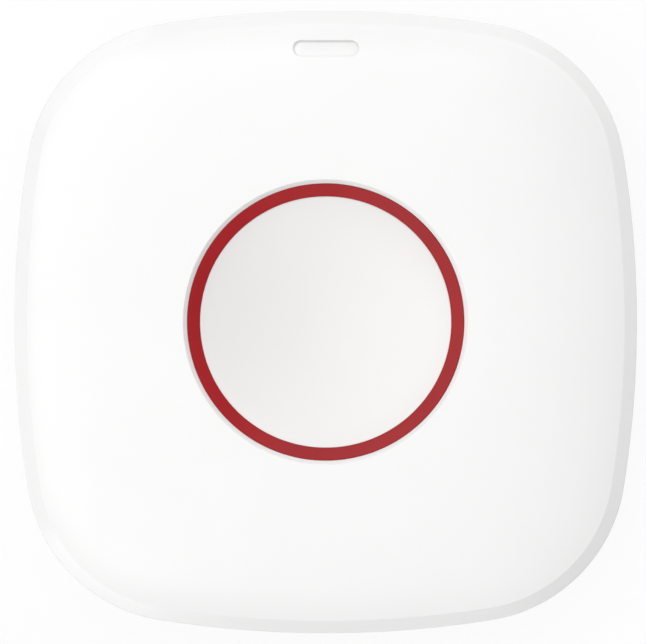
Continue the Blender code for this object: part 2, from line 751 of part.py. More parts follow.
def make_board_parts():
    """Components on the board's front: screening can, chip, crystal, lamp and aerial."""
    pieces = []
    shield = box("radio_shield", (SHIELD_WIDTH, SHIELD_WIDTH, SHIELD_HEIGHT),
                 (shield_x, shield_y, part_seat + SHIELD_HEIGHT / 2))
    hollow = box("shield_hollow",
                 (SHIELD_WIDTH - 2 * SHIELD_SHEET, SHIELD_WIDTH - 2 * SHIELD_SHEET, SHIELD_HEIGHT),
                 (shield_x, shield_y, part_seat + SHIELD_HEIGHT / 2 - SHIELD_SHEET))
    boolean(shield, hollow, "DIFFERENCE")
    finish(shield, (0.7, 0.7, 0.72), 0.35, 1.0)
    pieces.append(shield)
    x, y = board_place("microcontroller")
    chip = box("microcontroller", (CHIP_WIDTH, CHIP_WIDTH, CHIP_HEIGHT),
               (x, y, part_seat + CHIP_HEIGHT / 2))
    soften(chip, CHIP_EDGE)
    finish(chip, (0.02, 0.02, 0.022), 0.5)
    pieces.append(chip)
    x, y = board_place("crystal")
    crystal = box("crystal", (CRYSTAL_WIDTH, CRYSTAL_LENGTH, CRYSTAL_HEIGHT),
                  (x, y, part_seat + CRYSTAL_HEIGHT / 2))
    soften(crystal, CRYSTAL_EDGE / 2, 2)
    finish(crystal, (0.75, 0.74, 0.7), 0.25, 1.0)
    pieces.append(crystal)
    lamp = box("status_led", (LED_LENGTH, LED_WIDTH, LED_HEIGHT),
               (0.0, board_half - LED_INSET, part_seat + LED_HEIGHT / 2))
    soften(lamp, LED_EDGE)
    finish(lamp, (0.95, 0.9, 0.6), 0.3)
    pieces.append(lamp)
    pieces.append(make_antenna_coil())
    return pieces


def make_antenna_coil():
    """Aerial: a helix of wire lying along the board's lower edge."""
    x, y = board_place("antenna_coil")
    height = part_seat + AERIAL_RADIUS + AERIAL_WIRE
    count = AERIAL_TURNS * AERIAL_TURN_POINTS
    points = []
    for step in range(count + 1):
        angle = 2 * math.pi * step / AERIAL_TURN_POINTS
        points.append((x + AERIAL_LENGTH * (step / count - 0.5),
                       y + AERIAL_RADIUS * math.cos(angle),
                       height + AERIAL_RADIUS * math.sin(angle)))
    coil = wound("antenna_coil", points, AERIAL_WIRE, 1)
    finish(coil, (0.72, 0.45, 0.2), 0.3, 1.0)
    return coil


def make_tact_switch():
    """Long-stroke switch: a square body with a round well, and its stem."""
    base = box("tact_switch_base", (SWITCH_WIDTH, SWITCH_WIDTH, SWITCH_HEIGHT),
               (0.0, 0.0, part_seat + SWITCH_HEIGHT / 2))
    soften(base, SWITCH_EDGE)
    depth = SWITCH_STEM_SINK + BUTTON_TRAVEL + RUN_GAP
    well = cylinder("switch_well", SWITCH_STEM_RADIUS + RUN_GAP, switch_top - depth,
                    switch_top + OVERRUN)
    boolean(base, well, "DIFFERENCE")
    finish(base, (0.05, 0.05, 0.055), 0.45)
    stem = cylinder("tact_switch_stem", SWITCH_STEM_RADIUS, switch_top - SWITCH_STEM_SINK,
                    stem_top)
    finish(stem, (0.85, 0.83, 0.78), 0.4)
    return base, stem


def make_pairing_switch():
    """Small switch on the board's back, its stem towards the pin hole."""
    x, y = board_place("pairing_switch")
    bottom = boss_seat - PAIRING_HEIGHT
    base = box("pairing_switch_base", (PAIRING_WIDTH, PAIRING_WIDTH, PAIRING_HEIGHT),
               (x, y, bottom + PAIRING_HEIGHT / 2))
    soften(base, PAIRING_EDGE)
    depth = PAIRING_STEM_SINK + PAIRING_TRAVEL + RUN_GAP
    well = cylinder("pairing_well", PAIRING_STEM_RADIUS + RUN_GAP, bottom - OVERRUN,
                    bottom + depth, (x, y))
    boolean(base, well, "DIFFERENCE")
    finish(base, (0.05, 0.05, 0.055), 0.45)
    stem = cylinder("pairing_switch_stem", PAIRING_STEM_RADIUS, bottom - PAIRING_STEM_RISE,
                    bottom + PAIRING_STEM_SINK, (x, y))
    finish(stem, (0.8, 0.1, 0.08), 0.4)
    return base, stem


def make_button():
    """Dished cap with skirt, flange, spring rib and actuator, and the red ring round its dish."""
    rabbet = ring_top - RING_THICKNESS - SEAT_GAP
    flange_radius = ring_radius + FLANGE_WIDTH
    flange_bottom = flange_top - FLANGE_THICKNESS
    skirt_inner = ring_radius - SKIRT_WALL
    rib_outer = SPRING_RADIUS - SPRING_WIRE - SEAT_GAP
    rib_inner = rib_outer - SPRING_RIB_WALL
    dish_radii = [CAP_RADIUS * step / DISH_STEPS for step in range(DISH_STEPS + 1)]
    profile = [(radius, dish_height(radius)) for radius in dish_radii]
    profile += [(CAP_RADIUS, rabbet), (ring_radius, rabbet), (ring_radius, flange_top),
                (flange_radius, flange_top), (flange_radius, flange_bottom),
                (skirt_inner, flange_bottom)]
    inner_radii = [skirt_inner + (rib_outer - skirt_inner) * step / UNDERSIDE_STEPS
                   for step in range(UNDERSIDE_STEPS + 1)]
    profile += [(radius, dish_height(radius) - CAP_THICKNESS) for radius in inner_radii]
    rib_bottom = cap_underside - SPRING_RIB_DROP
    profile += [(rib_outer, rib_bottom), (rib_inner, rib_bottom),
                (rib_inner, dish_height(rib_inner) - CAP_THICKNESS),
                (ACTUATOR_RADIUS, dish_height(ACTUATOR_RADIUS) - CAP_THICKNESS),
                (ACTUATOR_RADIUS, actuator_bottom), (0.0, actuator_bottom)]
    cap = turned("button_cap", profile, steps=SHOWN_STEPS)
    finish(cap, (0.93, 0.93, 0.92), 0.3)
    inner = CAP_RADIUS + RING_FIT
    ring = turned("button_ring", [
        (inner, ring_top), (ring_radius - RING_EDGE, ring_top),
        (ring_radius, ring_top - RING_EDGE), (ring_radius, ring_top - RING_THICKNESS),
        (inner, ring_top - RING_THICKNESS)], closed=True, steps=SHOWN_STEPS)
    finish(ring, (0.36, 0.012, 0.018), 0.35)
    return cap, ring


def make_button_spring():
    """Return spring between the board and the cap."""
    bottom = part_seat + SPRING_WIRE
    top = dish_height(SPRING_RADIUS) - CAP_THICKNESS - SEAT_GAP - SPRING_WIRE
    count = SPRING_TURNS * SPRING_TURN_POINTS
    points = []
    for step in range(count + 1):
        angle = 2 * math.pi * step / SPRING_TURN_POINTS
        points.append((SPRING_RADIUS * math.cos(angle), SPRING_RADIUS * math.sin(angle),
                       bottom + (top - bottom) * step / count))
    spring = wound("button_spring", points, SPRING_WIRE, 1)
    finish(spring, (0.65, 0.65, 0.67), 0.25, 1.0)
    return spring


def make_screws():
    """Case screws with their heads at the back, and board screws with theirs in front."""
    pieces = []
    seat = rear_face + CASE_SCREW_RECESS - SEAT_GAP
    tip = boss_seat + SEAT_GAP + CASE_SCREW_BITE - seat
    for number, place in enumerate(screw_places(), 1):
        screw = turned(f"case_screw_{number}", [
            (0.0, tip), (CASE_SCREW_RADIUS / 2, tip), (CASE_SCREW_RADIUS, tip - CASE_SCREW_RADIUS),
            (CASE_SCREW_RADIUS, 0.0), (CASE_SCREW_HEAD_RADIUS, 0.0),
            (CASE_SCREW_HEAD_RADIUS, -CASE_SCREW_HEAD / 2),
            (CASE_SCREW_HEAD_RADIUS * SCREW_CROWN_SHARE, -CASE_SCREW_HEAD), (0.0, -CASE_SCREW_HEAD)],
            steps=SCREW_STEPS)
        screw.location = (*place, seat)
        finish(screw, (0.6, 0.6, 0.62), 0.3, 1.0)
        pieces.append(screw)
    seat = board_top + SEAT_GAP
    tip = boss_seat - BOARD_SCREW_BITE - seat
    for number, side in enumerate((-1, 1), 1):
        screw = turned(f"board_screw_{number}", [
            (0.0, BOARD_SCREW_HEAD), (BOARD_SCREW_HEAD_RADIUS * SCREW_CROWN_SHARE, BOARD_SCREW_HEAD),
            (BOARD_SCREW_HEAD_RADIUS, BOARD_SCREW_HEAD / 2), (BOARD_SCREW_HEAD_RADIUS, 0.0),
            (BOARD_SCREW_RADIUS, 0.0), (BOARD_SCREW_RADIUS, tip), (0.0, tip)], steps=SCREW_STEPS)
        screw.location = (side * post_place, 0.0, seat)
        finish(screw, (0.6, 0.6, 0.62), 0.3, 1.0)
        pieces.append(screw)
    return pieces


def hook_places():
    """Places of the bracket's four hooks."""
    return [(x * hook_place, y * HOOK_SPREAD) for x, y in ((1, 1), (-1, 1), (-1, -1), (1, -1))]


def make_wall_bracket():
    """Plate with sunk screw holes and four hooks whose lips point up."""
    bracket = flat("wall_bracket", [outline(BRACKET_INSET)], 0.0, BRACKET_THICKNESS)
    soften(bracket, BRACKET_EDGE)
    lip_bottom = floor_top + SEAT_GAP
    lip_top = lip_bottom + HOOK_LIP
    half = HOOK_STEM / 2
    profile = [(-half, BRACKET_THICKNESS / 2), (half, BRACKET_THICKNESS / 2), (half, lip_bottom),
               (half + HOOK_REACH, lip_bottom), (half + HOOK_REACH, lip_top), (-half, lip_top)]
    across = Matrix(((0, 0, 1, 0), (1, 0, 0, 0), (0, 1, 0, 0), (0, 0, 0, 1)))
    for number, (x, y) in enumerate(hook_places(), 1):
        hook = flat(f"hook_{number}", [profile], x - HOOK_WIDTH / 2, x + HOOK_WIDTH / 2, across)
        hook.matrix_world = Matrix.Translation((0.0, y, 0.0)) @ hook.matrix_world
        boolean(bracket, hook, "UNION")
    for number, side in enumerate((1, -1), 1):
        place = (0.0, side * WALL_SCREW_SPREAD)
        hole = cylinder(f"wall_hole_{number}", WALL_SCREW_RADIUS, -OVERRUN,
                        BRACKET_THICKNESS + OVERRUN, place)
        boolean(bracket, hole, "DIFFERENCE")
        slope = (WALL_SCREW_SINK_RADIUS - WALL_SCREW_RADIUS) / WALL_SCREW_SINK
        sink = cylinder(f"wall_sink_{number}", WALL_SCREW_RADIUS,
                        BRACKET_THICKNESS - WALL_SCREW_SINK, BRACKET_THICKNESS + OVERRUN, place,
                        WALL_SCREW_SINK_RADIUS + slope * OVERRUN)
        boolean(bracket, sink, "DIFFERENCE")
    finish(bracket, (0.88, 0.88, 0.87), 0.5)
    return bracket


def build():
    """Makes every piece and hangs the moving ones on their axes."""
    make_wall_bracket()
    fixed = [make_front_cover(), make_status_window(), make_rear_cover(), make_coin_cell(),
             *make_battery_contacts(), make_circuit_board(), *make_board_parts(),
             make_button_spring(), *make_screws()]
    switch_base, switch_stem = make_tact_switch()
    pairing_base, pairing_stem = make_pairing_switch()
    fixed += [switch_base, pairing_base]
    casing_axis = joint_axis("casing_slide_axis", (0.0, 0.0, rear_face))
    hang_on(fixed, casing_axis)
    button_axis = joint_axis("button_press_axis", (0.0, 0.0, ring_top))
    hang_on(make_button(), button_axis)
    stem_axis = joint_axis("switch_press_axis", (0.0, 0.0, stem_top))
    hang_on([switch_stem], stem_axis)
    door_axis = joint_axis("door_turn_axis", (0.0, 0.0, rear_face))
    hang_on([make_battery_door(), make_battery_door_seal()], door_axis)
    pairing_axis = joint_axis("pairing_press_axis", (*board_place("pairing_switch"), boss_seat))
    hang_on([pairing_stem], pairing_axis)


build()
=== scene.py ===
# Wireless panic button lying on its back on a white table, seen straight from above.
import math
import bmesh
import bpy
import numpy as np
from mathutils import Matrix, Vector


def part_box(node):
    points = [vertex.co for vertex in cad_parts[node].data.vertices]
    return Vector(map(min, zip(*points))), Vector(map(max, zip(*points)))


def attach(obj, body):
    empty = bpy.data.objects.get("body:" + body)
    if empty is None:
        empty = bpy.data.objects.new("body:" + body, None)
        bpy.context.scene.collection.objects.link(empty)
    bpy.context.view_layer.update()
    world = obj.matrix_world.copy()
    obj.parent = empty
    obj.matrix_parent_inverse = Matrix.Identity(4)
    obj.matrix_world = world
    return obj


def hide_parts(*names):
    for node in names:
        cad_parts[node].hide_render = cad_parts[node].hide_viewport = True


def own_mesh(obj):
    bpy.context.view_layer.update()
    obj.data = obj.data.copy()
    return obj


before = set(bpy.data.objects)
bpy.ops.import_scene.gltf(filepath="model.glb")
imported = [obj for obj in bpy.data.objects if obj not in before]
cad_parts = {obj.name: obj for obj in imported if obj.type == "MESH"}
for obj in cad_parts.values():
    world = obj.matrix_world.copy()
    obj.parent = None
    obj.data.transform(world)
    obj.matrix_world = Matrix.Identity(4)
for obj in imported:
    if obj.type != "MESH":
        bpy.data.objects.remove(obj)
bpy.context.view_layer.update()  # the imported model, in metres, +Z out of the button's face
print("scene: frame loaded,", len(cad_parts), "nodes")

coverLow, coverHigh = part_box("front_cover")
rearLow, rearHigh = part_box("rear_cover")
capLow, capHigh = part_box("button_cap")
ringLow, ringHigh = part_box("button_ring")
windowLow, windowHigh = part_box("status_window")
doorLow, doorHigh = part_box("battery_door")
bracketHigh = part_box("wall_bracket")[1]


# Directions of unit length; a zero direction stays zero
def unit(vectors):
    length = np.linalg.norm(vectors, axis=-1, keepdims=True)
    return vectors / np.where(length > 0, length, 1)


# Casing seen from the front, counter-clockwise, one (x, y) per column. A side is an arc of radius
# (sideRadius - inset) whose centre lies far across the casing, a corner an arc of radius
# (cornerRadius - inset) about its own centre, and the two meet where their radii point the same way.
casing = {
    "halfWidth": coverHigh.x,
    "sideRadius": 0.1088,
    "cornerRadius": 0.0166,
    "sideSteps": 44,
    "cornerSteps": 40,
}


def casingOutline(inset):
    bow = casing["sideRadius"] - casing["halfWidth"]
    span = casing["sideRadius"] - casing["cornerRadius"]
    centre = (math.sqrt(2 * span ** 2 - bow ** 2) - bow) / 2
    turn = math.atan2(centre, centre + bow)
    side = turn * (2 * np.arange(casing["sideSteps"]) / casing["sideSteps"] - 1)
    corner = turn + (math.pi / 2 - 2 * turn) * np.arange(casing["cornerSteps"]) / casing["cornerSteps"]
    sideRadius, cornerRadius = casing["sideRadius"] - inset, casing["cornerRadius"] - inset
    along = np.concatenate([sideRadius * np.cos(side) - bow, centre + cornerRadius * np.cos(corner)])
    across = np.concatenate([sideRadius * np.sin(side), centre + cornerRadius * np.sin(corner)])
    facing = (np.arange(4) * math.pi / 2)[:, None]
    x = along * np.cos(facing) - across * np.sin(facing)
    y = along * np.sin(facing) + across * np.cos(facing)
    return np.stack([x.ravel(), y.ravel()], axis=-1)


casingBearings = np.arctan2(casingOutline(0)[:, 1], casingOutline(0)[:, 0])


# A flat outline at a height, or at one height for each column
def ringAt(outline, height):
    heights = np.broadcast_to(height, len(outline))[:, None]
    return np.concatenate([outline, heights], axis=-1)


def casingRing(inset, height):
    return ringAt(casingOutline(inset), height)


# Circle: centre + radius * (cos, sin) of each bearing
def circleRing(radius, height, bearings=casingBearings, centre=(0, 0)):
    outline = np.stack([np.cos(bearings), np.sin(bearings)], axis=-1) * radius + np.array(centre)
    return ringAt(outline, height)


# Evenly spread bearings of a turned piece
def evenBearings(count):
    return np.arange(count) * 2 * math.pi / count


# Rectangle with round corners, or a slot with round ends when the corner is half its height:
# each quarter is its corner's centre + corner radius * (cos, sin)
def roundedOutline(length, height, corner, centre=(0, 0), steps=10):
    quarter = np.arange(4)[:, None]
    angle = (quarter + np.arange(steps + 1) / steps) * math.pi / 2
    signX = np.array([1, -1, -1, 1])[:, None]
    signY = np.array([1, 1, -1, -1])[:, None]
    x = centre[0] + signX * (length / 2 - corner) + corner * np.cos(angle)
    y = centre[1] + signY * (height / 2 - corner) + corner * np.sin(angle)
    return np.stack([x.ravel(), y.ravel()], axis=-1)


# Share of the way to the neighbour ring that a rounding may take, and reach of its guard rows
softening = {"mostShare": 0.4, "guardReach": 1.12}


# Rows of a surface from its main rings P. Where a ring has a rounding, a parabola
# (1-t)^2 A + 2t(1-t) P + t^2 B takes its place, with A and B that far away towards the neighbour rings
# and a guard row just beyond each, so that the flats beside it stay flat in the shading.
def softened(rings, roundings, closed, steps):
    rings = np.stack(rings)
    before, after = np.roll(rings, 1, axis=0), np.roll(rings, -1, axis=0)
    if not closed:
        before[0], after[-1] = rings[0], rings[-1]
    reach = np.array(roundings)[:, None, None]
    most = softening["mostShare"]
    back = np.minimum(reach, most * np.linalg.norm(before - rings, axis=-1, keepdims=True))
    ahead = np.minimum(reach, most * np.linalg.norm(after - rings, axis=-1, keepdims=True))
    start, end = rings + unit(before - rings) * back, rings + unit(after - rings) * ahead
    t = np.linspace(0, 1, steps)[:, None, None, None]
    arcs = (1 - t) ** 2 * start + 2 * t * (1 - t) * rings + t ** 2 * end
    guard = softening["guardReach"]
    first, last = rings + (start - rings) * guard, rings + (end - rings) * guard
    arcs = np.concatenate([first[None], arcs, last[None]])
    return np.concatenate([arcs[:, row] if rounding else rings[row][None]
                           for row, rounding in enumerate(roundings)])


# Quads of a grid of rows and columns; columns always close, rows when the section is a closed loop
def gridQuads(rows, columns, closed):
    row = np.arange(rows if closed else rows - 1)[:, None]
    column = np.arange(columns)[None, :]
    beside, below = (column + 1) % columns, (row + 1) % rows
    corners = [row * columns + column, row * columns + beside,
               below * columns + beside, below * columns + column]
    return np.stack(corners, axis=-1).reshape(-1, 4)


mending = {"mergeDistance": 0.0000005, "holeSides": 16}


# Merges poles and doubled points, closes the slivers that a cut can leave open and turns the faces
# outwards
def mend(mesh):
    shape = bmesh.new()
    shape.from_mesh(mesh)
    bmesh.ops.remove_doubles(shape, verts=shape.verts, dist=mending["mergeDistance"])
    rims = [edge for edge in shape.edges if edge.is_boundary]
    bmesh.ops.holes_fill(shape, edges=rims, sides=mending["holeSides"])
    rims = [edge for edge in shape.edges if edge.is_boundary]
    bmesh.ops.contextual_create(shape, geom=rims)
    bmesh.ops.recalc_face_normals(shape, faces=shape.faces)
    shape.to_mesh(mesh)
    shape.free()


# Mends a mesh and puts it in the scene as an object
def linked(name, mesh):
    mend(mesh)
    piece = bpy.data.objects.new(name, mesh)
    bpy.context.scene.collection.objects.link(piece)
    return piece


# Puts rows of points into a mesh object
def surface(name, rows, closed=False):
    count, columns = rows.shape[:2]
    mesh = bpy.data.meshes.new(name)
    mesh.from_pydata(rows.reshape(-1, 3).tolist(), [], gridQuads(count, columns, closed).tolist())
    return linked(name, mesh)


# Surface through main rows of (ring, rounding)
def lofted(name, rows, closed=False, steps=6):
    rings, roundings = zip(*rows)
    return surface(name, softened(rings, roundings, closed, steps), closed)


# Solid of revolution: each (radius, height, rounding) of the profile becomes a circle,
# centre + radius * (cos, sin)
def turned(name, profile, centre=(0, 0), columns=128, closed=False, steps=6):
    bearings = evenBearings(columns)
    rows = [(circleRing(radius, height, bearings, centre), rounding) for radius, height, rounding in profile]
    return lofted(name, rows, closed, steps)


# Upright block over any outline, with softened top and bottom edges
def block(name, outline, bottom, top, rounding):
    centre = outline.mean(axis=0, keepdims=True).repeat(len(outline), axis=0)
    return lofted(name, [(ringAt(centre, bottom), 0), (ringAt(outline, bottom), rounding),
                         (ringAt(outline, top), rounding), (ringAt(centre, top), 0)])


# Upright round post or plug
def post(name, radius, bottom, top, rounding, centre, columns):
    return turned(name, [(0, bottom, 0), (radius, bottom, 0), (radius, top, rounding), (0, top, 0)],
                  centre, columns)


# Joins tools to a piece or cuts them from it, and keeps the outcome as the piece's mesh
def carve(piece, tools, operation):
    for tool in tools:
        step = piece.modifiers.new(tool.name, "BOOLEAN")
        step.operation = operation
        step.solver = "EXACT"
        step.object = tool
    bpy.context.view_layer.update()
    graph = bpy.context.evaluated_depsgraph_get()
    mesh = bpy.data.meshes.new_from_object(piece.evaluated_get(graph))
    piece.modifiers.clear()
    mend(mesh)
    piece.data = mesh
    for tool in tools:
        bpy.data.objects.remove(tool, do_unlink=True)


sharpAngle = math.radians(32)


# Finishes a new piece: smooth shading with sharp edges kept, material, body, the nodes it replaces
def place(piece, body, nodes, material):
    piece.data.shade_smooth()
    piece.data.set_sharp_from_angle(angle=sharpAngle)
    piece.data.materials.clear()
    piece.data.materials.append(material)
    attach(piece, body)
    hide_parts(*nodes)


# Material with its node tree and its shader
def newMaterial(name):
    material = bpy.data.materials.new(name)
    material.use_nodes = True
    tree = material.node_tree
    return material, tree, tree.nodes["Principled BSDF"]


# New node; a value named in_... goes to the socket of that name, any other to the node itself
def addNode(tree, kind, **values):
    node = tree.nodes.new(kind)
    for key, value in values.items():
        if key.startswith("in_"):
            node.inputs[key.removeprefix("in_").replace("_", " ")].default_value = value
        else:
            setattr(node, key, value)
    return node


# Noise on Object coordinates, in cycles per metre
def noiseOn(tree, scale, detail=3.0, roughness=0.5):
    coordinates = addNode(tree, "ShaderNodeTexCoord")
    noise = addNode(tree, "ShaderNodeTexNoise", in_Scale=scale, in_Detail=detail, in_Roughness=roughness)
    tree.links.new(coordinates.outputs["Object"], noise.inputs["Vector"])
    return noise.outputs["Fac"]


# Noise values between which a tint and a roughness run from their one end to the other
noiseSpan = {"tint": (0.35, 0.65), "roughness": (0.3, 0.7)}


# Colour that wanders between two tints
def blendTints(tree, factor, dark, light):
    ramp = addNode(tree, "ShaderNodeValToRGB")
    for stop, position, tint in zip(ramp.color_ramp.elements, noiseSpan["tint"], (dark, light)):
        stop.position = position
        stop.color = (*tint, 1)
    tree.links.new(factor, ramp.inputs["Fac"])
    return ramp.outputs["Color"]


# Roughness that wanders between two values
def blendRoughness(tree, factor, low, high):
    start, end = noiseSpan["roughness"]
    span = addNode(tree, "ShaderNodeMapRange", in_From_Min=start, in_From_Max=end,
                   in_To_Min=low, in_To_Max=high)
    tree.links.new(factor, span.inputs["Value"])
    return span.outputs["Result"]


# Relief in a shader's normals from a height between 0 and 1
def addRelief(tree, shader, height, strength, distance):
    bump = addNode(tree, "ShaderNodeBump", in_Strength=strength, in_Distance=distance)
    tree.links.new(height, bump.inputs["Height"])
    tree.links.new(bump.outputs["Normal"], shader.inputs["Normal"])


# Moulded plastic: faint cloudy tint, uneven gloss, and the mould's fine spark-eroded grain
def mouldedPlastic(name, look):
    material, tree, shader = newMaterial(name)
    colour = np.array(look["colour"])
    cloud = noiseOn(tree, look["cloudScale"], look["cloudDetail"])
    tint = blendTints(tree, cloud, colour * (1 - look["cloudShare"]), colour)
    tree.links.new(tint, shader.inputs["Base Color"])
    gloss = noiseOn(tree, look["glossScale"], look["glossDetail"])
    tree.links.new(blendRoughness(tree, gloss, *look["roughness"]), shader.inputs["Roughness"])
    grain = noiseOn(tree, look["grainScale"], look["grainDetail"], look["grainRoughness"])
    addRelief(tree, shader, grain, look["grainStrength"], look["grainHeight"])
    shader.inputs["IOR"].default_value = look["ior"]
    shader.inputs["Specular IOR Level"].default_value = look["specular"]
    if look.get("glow"):
        shader.inputs["Subsurface Weight"].default_value = look["glow"]
        shader.inputs["Subsurface Radius"].default_value = look["glowTint"]
        shader.inputs["Subsurface Scale"].default_value = look["glowDepth"]
    return material


# Metal: drawn or rolled streaks in colour, gloss and relief. Where the streaks' scale is low, they run
# long.
def drawnMetal(name, look):
    material, tree, shader = newMaterial(name)
    colour = np.array(look["colour"])
    coordinates = addNode(tree, "ShaderNodeTexCoord")
    stretch = addNode(tree, "ShaderNodeMapping", in_Scale=look["streaks"])
    tree.links.new(coordinates.outputs["Object"], stretch.inputs["Vector"])
    noise = addNode(tree, "ShaderNodeTexNoise", in_Scale=1.0, in_Detail=look["streakDetail"])
    tree.links.new(stretch.outputs["Vector"], noise.inputs["Vector"])
    streak = noise.outputs["Fac"]
    tint = blendTints(tree, streak, colour * (1 - look["streakShare"]), colour)
    tree.links.new(tint, shader.inputs["Base Color"])
    tree.links.new(blendRoughness(tree, streak, *look["roughness"]), shader.inputs["Roughness"])
    addRelief(tree, shader, streak, look["streakStrength"], look["streakHeight"])
    shader.inputs["Metallic"].default_value = 1.0
    return material


plasticLook = {
    "cloudScale": 60, "cloudDetail": 2.0, "cloudShare": 0.012,
    "glossScale": 400, "glossDetail": 4.0, "roughness": (0.2, 0.26),
    "grainScale": 5000, "grainDetail": 3.0, "grainRoughness": 0.6,
    "grainStrength": 0.12, "grainHeight": 0.000004,
    "ior": 1.46, "specular": 0.5, "glowTint": (1.0, 0.9, 0.8),
}
caseWhite = mouldedPlastic("caseWhite", {**plasticLook, "colour": (0.93, 0.93, 0.926)})
capWhite = mouldedPlastic("capWhite", {
    **plasticLook, "colour": (0.885, 0.873, 0.857), "roughness": (0.3, 0.36)})
ringRed = mouldedPlastic("ringRed", {
    **plasticLook, "colour": (0.38, 0.015, 0.0195), "cloudShare": 0.08, "cloudScale": 150,
    "roughness": (0.16, 0.2), "specular": 0.115})
windowMilky = mouldedPlastic("windowMilky", {
    **plasticLook, "colour": (0.885, 0.885, 0.882), "cloudShare": 0.003, "roughness": (0.28, 0.32),
    "glow": 0.1, "glowDepth": 0.0003})
backWhite = mouldedPlastic("backWhite", {
    **plasticLook, "colour": (0.86, 0.86, 0.852), "roughness": (0.48, 0.6),
    "grainScale": 2600, "grainStrength": 0.5, "grainHeight": 0.00002})
sealBlack = mouldedPlastic("sealBlack", {
    **plasticLook, "colour": (0.03, 0.03, 0.031), "cloudShare": 0.2, "roughness": (0.55, 0.7)})
blackPlastic = mouldedPlastic("blackPlastic", {
    **plasticLook, "colour": (0.04, 0.04, 0.043), "cloudShare": 0.15, "roughness": (0.4, 0.52)})
stemPlastic = mouldedPlastic("stemPlastic", {**plasticLook, "colour": (0.8, 0.78, 0.72)})
ledBody = mouldedPlastic("ledBody", {
    **plasticLook, "colour": (0.95, 0.9, 0.6), "glow": 0.3, "glowDepth": 0.0004})

metalLook = {
    "streaks": (300, 300, 6000), "streakDetail": 3.0, "streakShare": 0.18,
    "streakStrength": 0.2, "streakHeight": 0.00001, "roughness": (0.24, 0.38),
}
cellMetal = drawnMetal("cellMetal", {**metalLook, "colour": (0.75, 0.75, 0.76)})
contactMetal = drawnMetal("contactMetal", {**metalLook, "colour": (0.8, 0.76, 0.66)})
steelMetal = drawnMetal("steel", {**metalLook, "colour": (0.65, 0.65, 0.67)})
shieldMetal = drawnMetal("shieldMetal", {
    **metalLook, "colour": (0.7, 0.7, 0.72), "streaks": (200, 5000, 200)})
copperMetal = drawnMetal("copper", {**metalLook, "colour": (0.72, 0.45, 0.2)})


# Solder mask over copper tracks: a brick pattern of thin raised lines under a green film
def solderMask(name, look):
    material, tree, shader = newMaterial(name)
    coordinates = addNode(tree, "ShaderNodeTexCoord")
    tracks = addNode(tree, "ShaderNodeTexBrick", in_Scale=look["trackScale"],
                     in_Mortar_Size=look["trackWidth"], in_Mortar=(*look["track"], 1),
                     in_Color1=(*look["mask"], 1), in_Color2=(*look["maskDeep"], 1))
    tree.links.new(coordinates.outputs["Object"], tracks.inputs["Vector"])
    tree.links.new(tracks.outputs["Color"], shader.inputs["Base Color"])
    addRelief(tree, shader, tracks.outputs["Fac"], look["trackStrength"], look["trackHeight"])
    shader.inputs["Roughness"].default_value = look["roughness"]
    return material


boardGreen = solderMask("boardGreen", {
    "mask": (0.02, 0.16, 0.06), "maskDeep": (0.017, 0.14, 0.052), "track": (0.035, 0.24, 0.09),
    "trackScale": 280, "trackWidth": 0.03, "trackStrength": 0.3, "trackHeight": 0.00003, "roughness": 0.4})
print("scene: materials made")


# Front cover: side wall, chamfered rim, crowned face, well for the button, slot for the window
frontCover = {
    "wall": 0.002,
    "wallDraft": 0.0001,
    "chamferWidth": 0.0014,
    "chamferDrop": 0.0012,
    "crownRise": 0.0006,
    "crownPower": 2.6,
    "shoulderRise": 0.0005,
    "shoulderPower": 9,
    "faceRows": 34,
    "ceilingRows": 10,
    "rowPower": 1.5,
    "rimRound": 0.00018,
    "edgeRound": 0.00013,
    "wellGap": 0.00002,
    "mouthWidth": 0.00042,
    "mouthDrop": 0.0005,
    "mouthRound": 0.00006,
    "wellWall": 0.0016,
    "wellDepth": 0.0036,
    "bossRadius": 0.003,
    "bossBore": 0.0013,
    "bossBoreDepth": 0.0054,
    "bossBottom": 0.0087,
    "bossColumns": 48,
}
faceTop = coverHigh.z
faceEdge = faceTop - frontCover["crownRise"] - frontCover["shoulderRise"]
wellRadius = ringHigh.x + frontCover["wellGap"]
mouthRadius = wellRadius + frontCover["mouthWidth"]


# Middle of a box, seen from the front
def middleOf(low, high):
    return tuple((low + high).xy / 2)


screwCentres = [middleOf(*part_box(f"case_screw_{n}")) for n in (1, 2, 3, 4)]


# Crowned face with a shoulder near its rim: height = edge height + crown rise * (1 - u^crown power)
# + shoulder rise * (1 - u^shoulder power), where u = 1 - share
def faceHeight(share):
    crown = frontCover["crownRise"] * (1 - (1 - share) ** frontCover["crownPower"])
    shoulder = frontCover["shoulderRise"] * (1 - (1 - share) ** frontCover["shoulderPower"])
    return faceEdge + crown + shoulder


# The share runs along a straight line from a point of the rim (0) to the point of the well's mouth on the
# same bearing (1)
def faceRing(share, drop):
    rim, mouth = casingOutline(frontCover["chamferWidth"]), circleRing(mouthRadius, 0)[:, :2]
    return ringAt(rim + (mouth - rim) * share, faceHeight(share) - drop)


# Height of the face near the middle of a side, where the slot lies, at a distance from the centre
def faceHeightAt(distance):
    rim = casing["halfWidth"] - frontCover["chamferWidth"]
    return faceHeight((rim - distance) / (rim - mouthRadius))


# Slot: rings of one rounded outline. Its floor is shifted right and down, so that the top and left sides
# lean outwards and the others stand upright. The mouth follows the plane that touches the face in the
# slot's middle.
slotShape = {
    "length": 0.0069,
    "height": 0.00172,
    "lower": 0.00006,
    "lean": 0.00024,
    "lipRound": 0.00005,
    "sink": 0.00012,
    "flare": 0.0002,
    "flareRise": 0.00007,
    "endSteps": 14,
}
slotY = (windowLow.y + windowHigh.y) / 2 - slotShape["lower"]
slotFloor = windowHigh.z - slotShape["sink"]


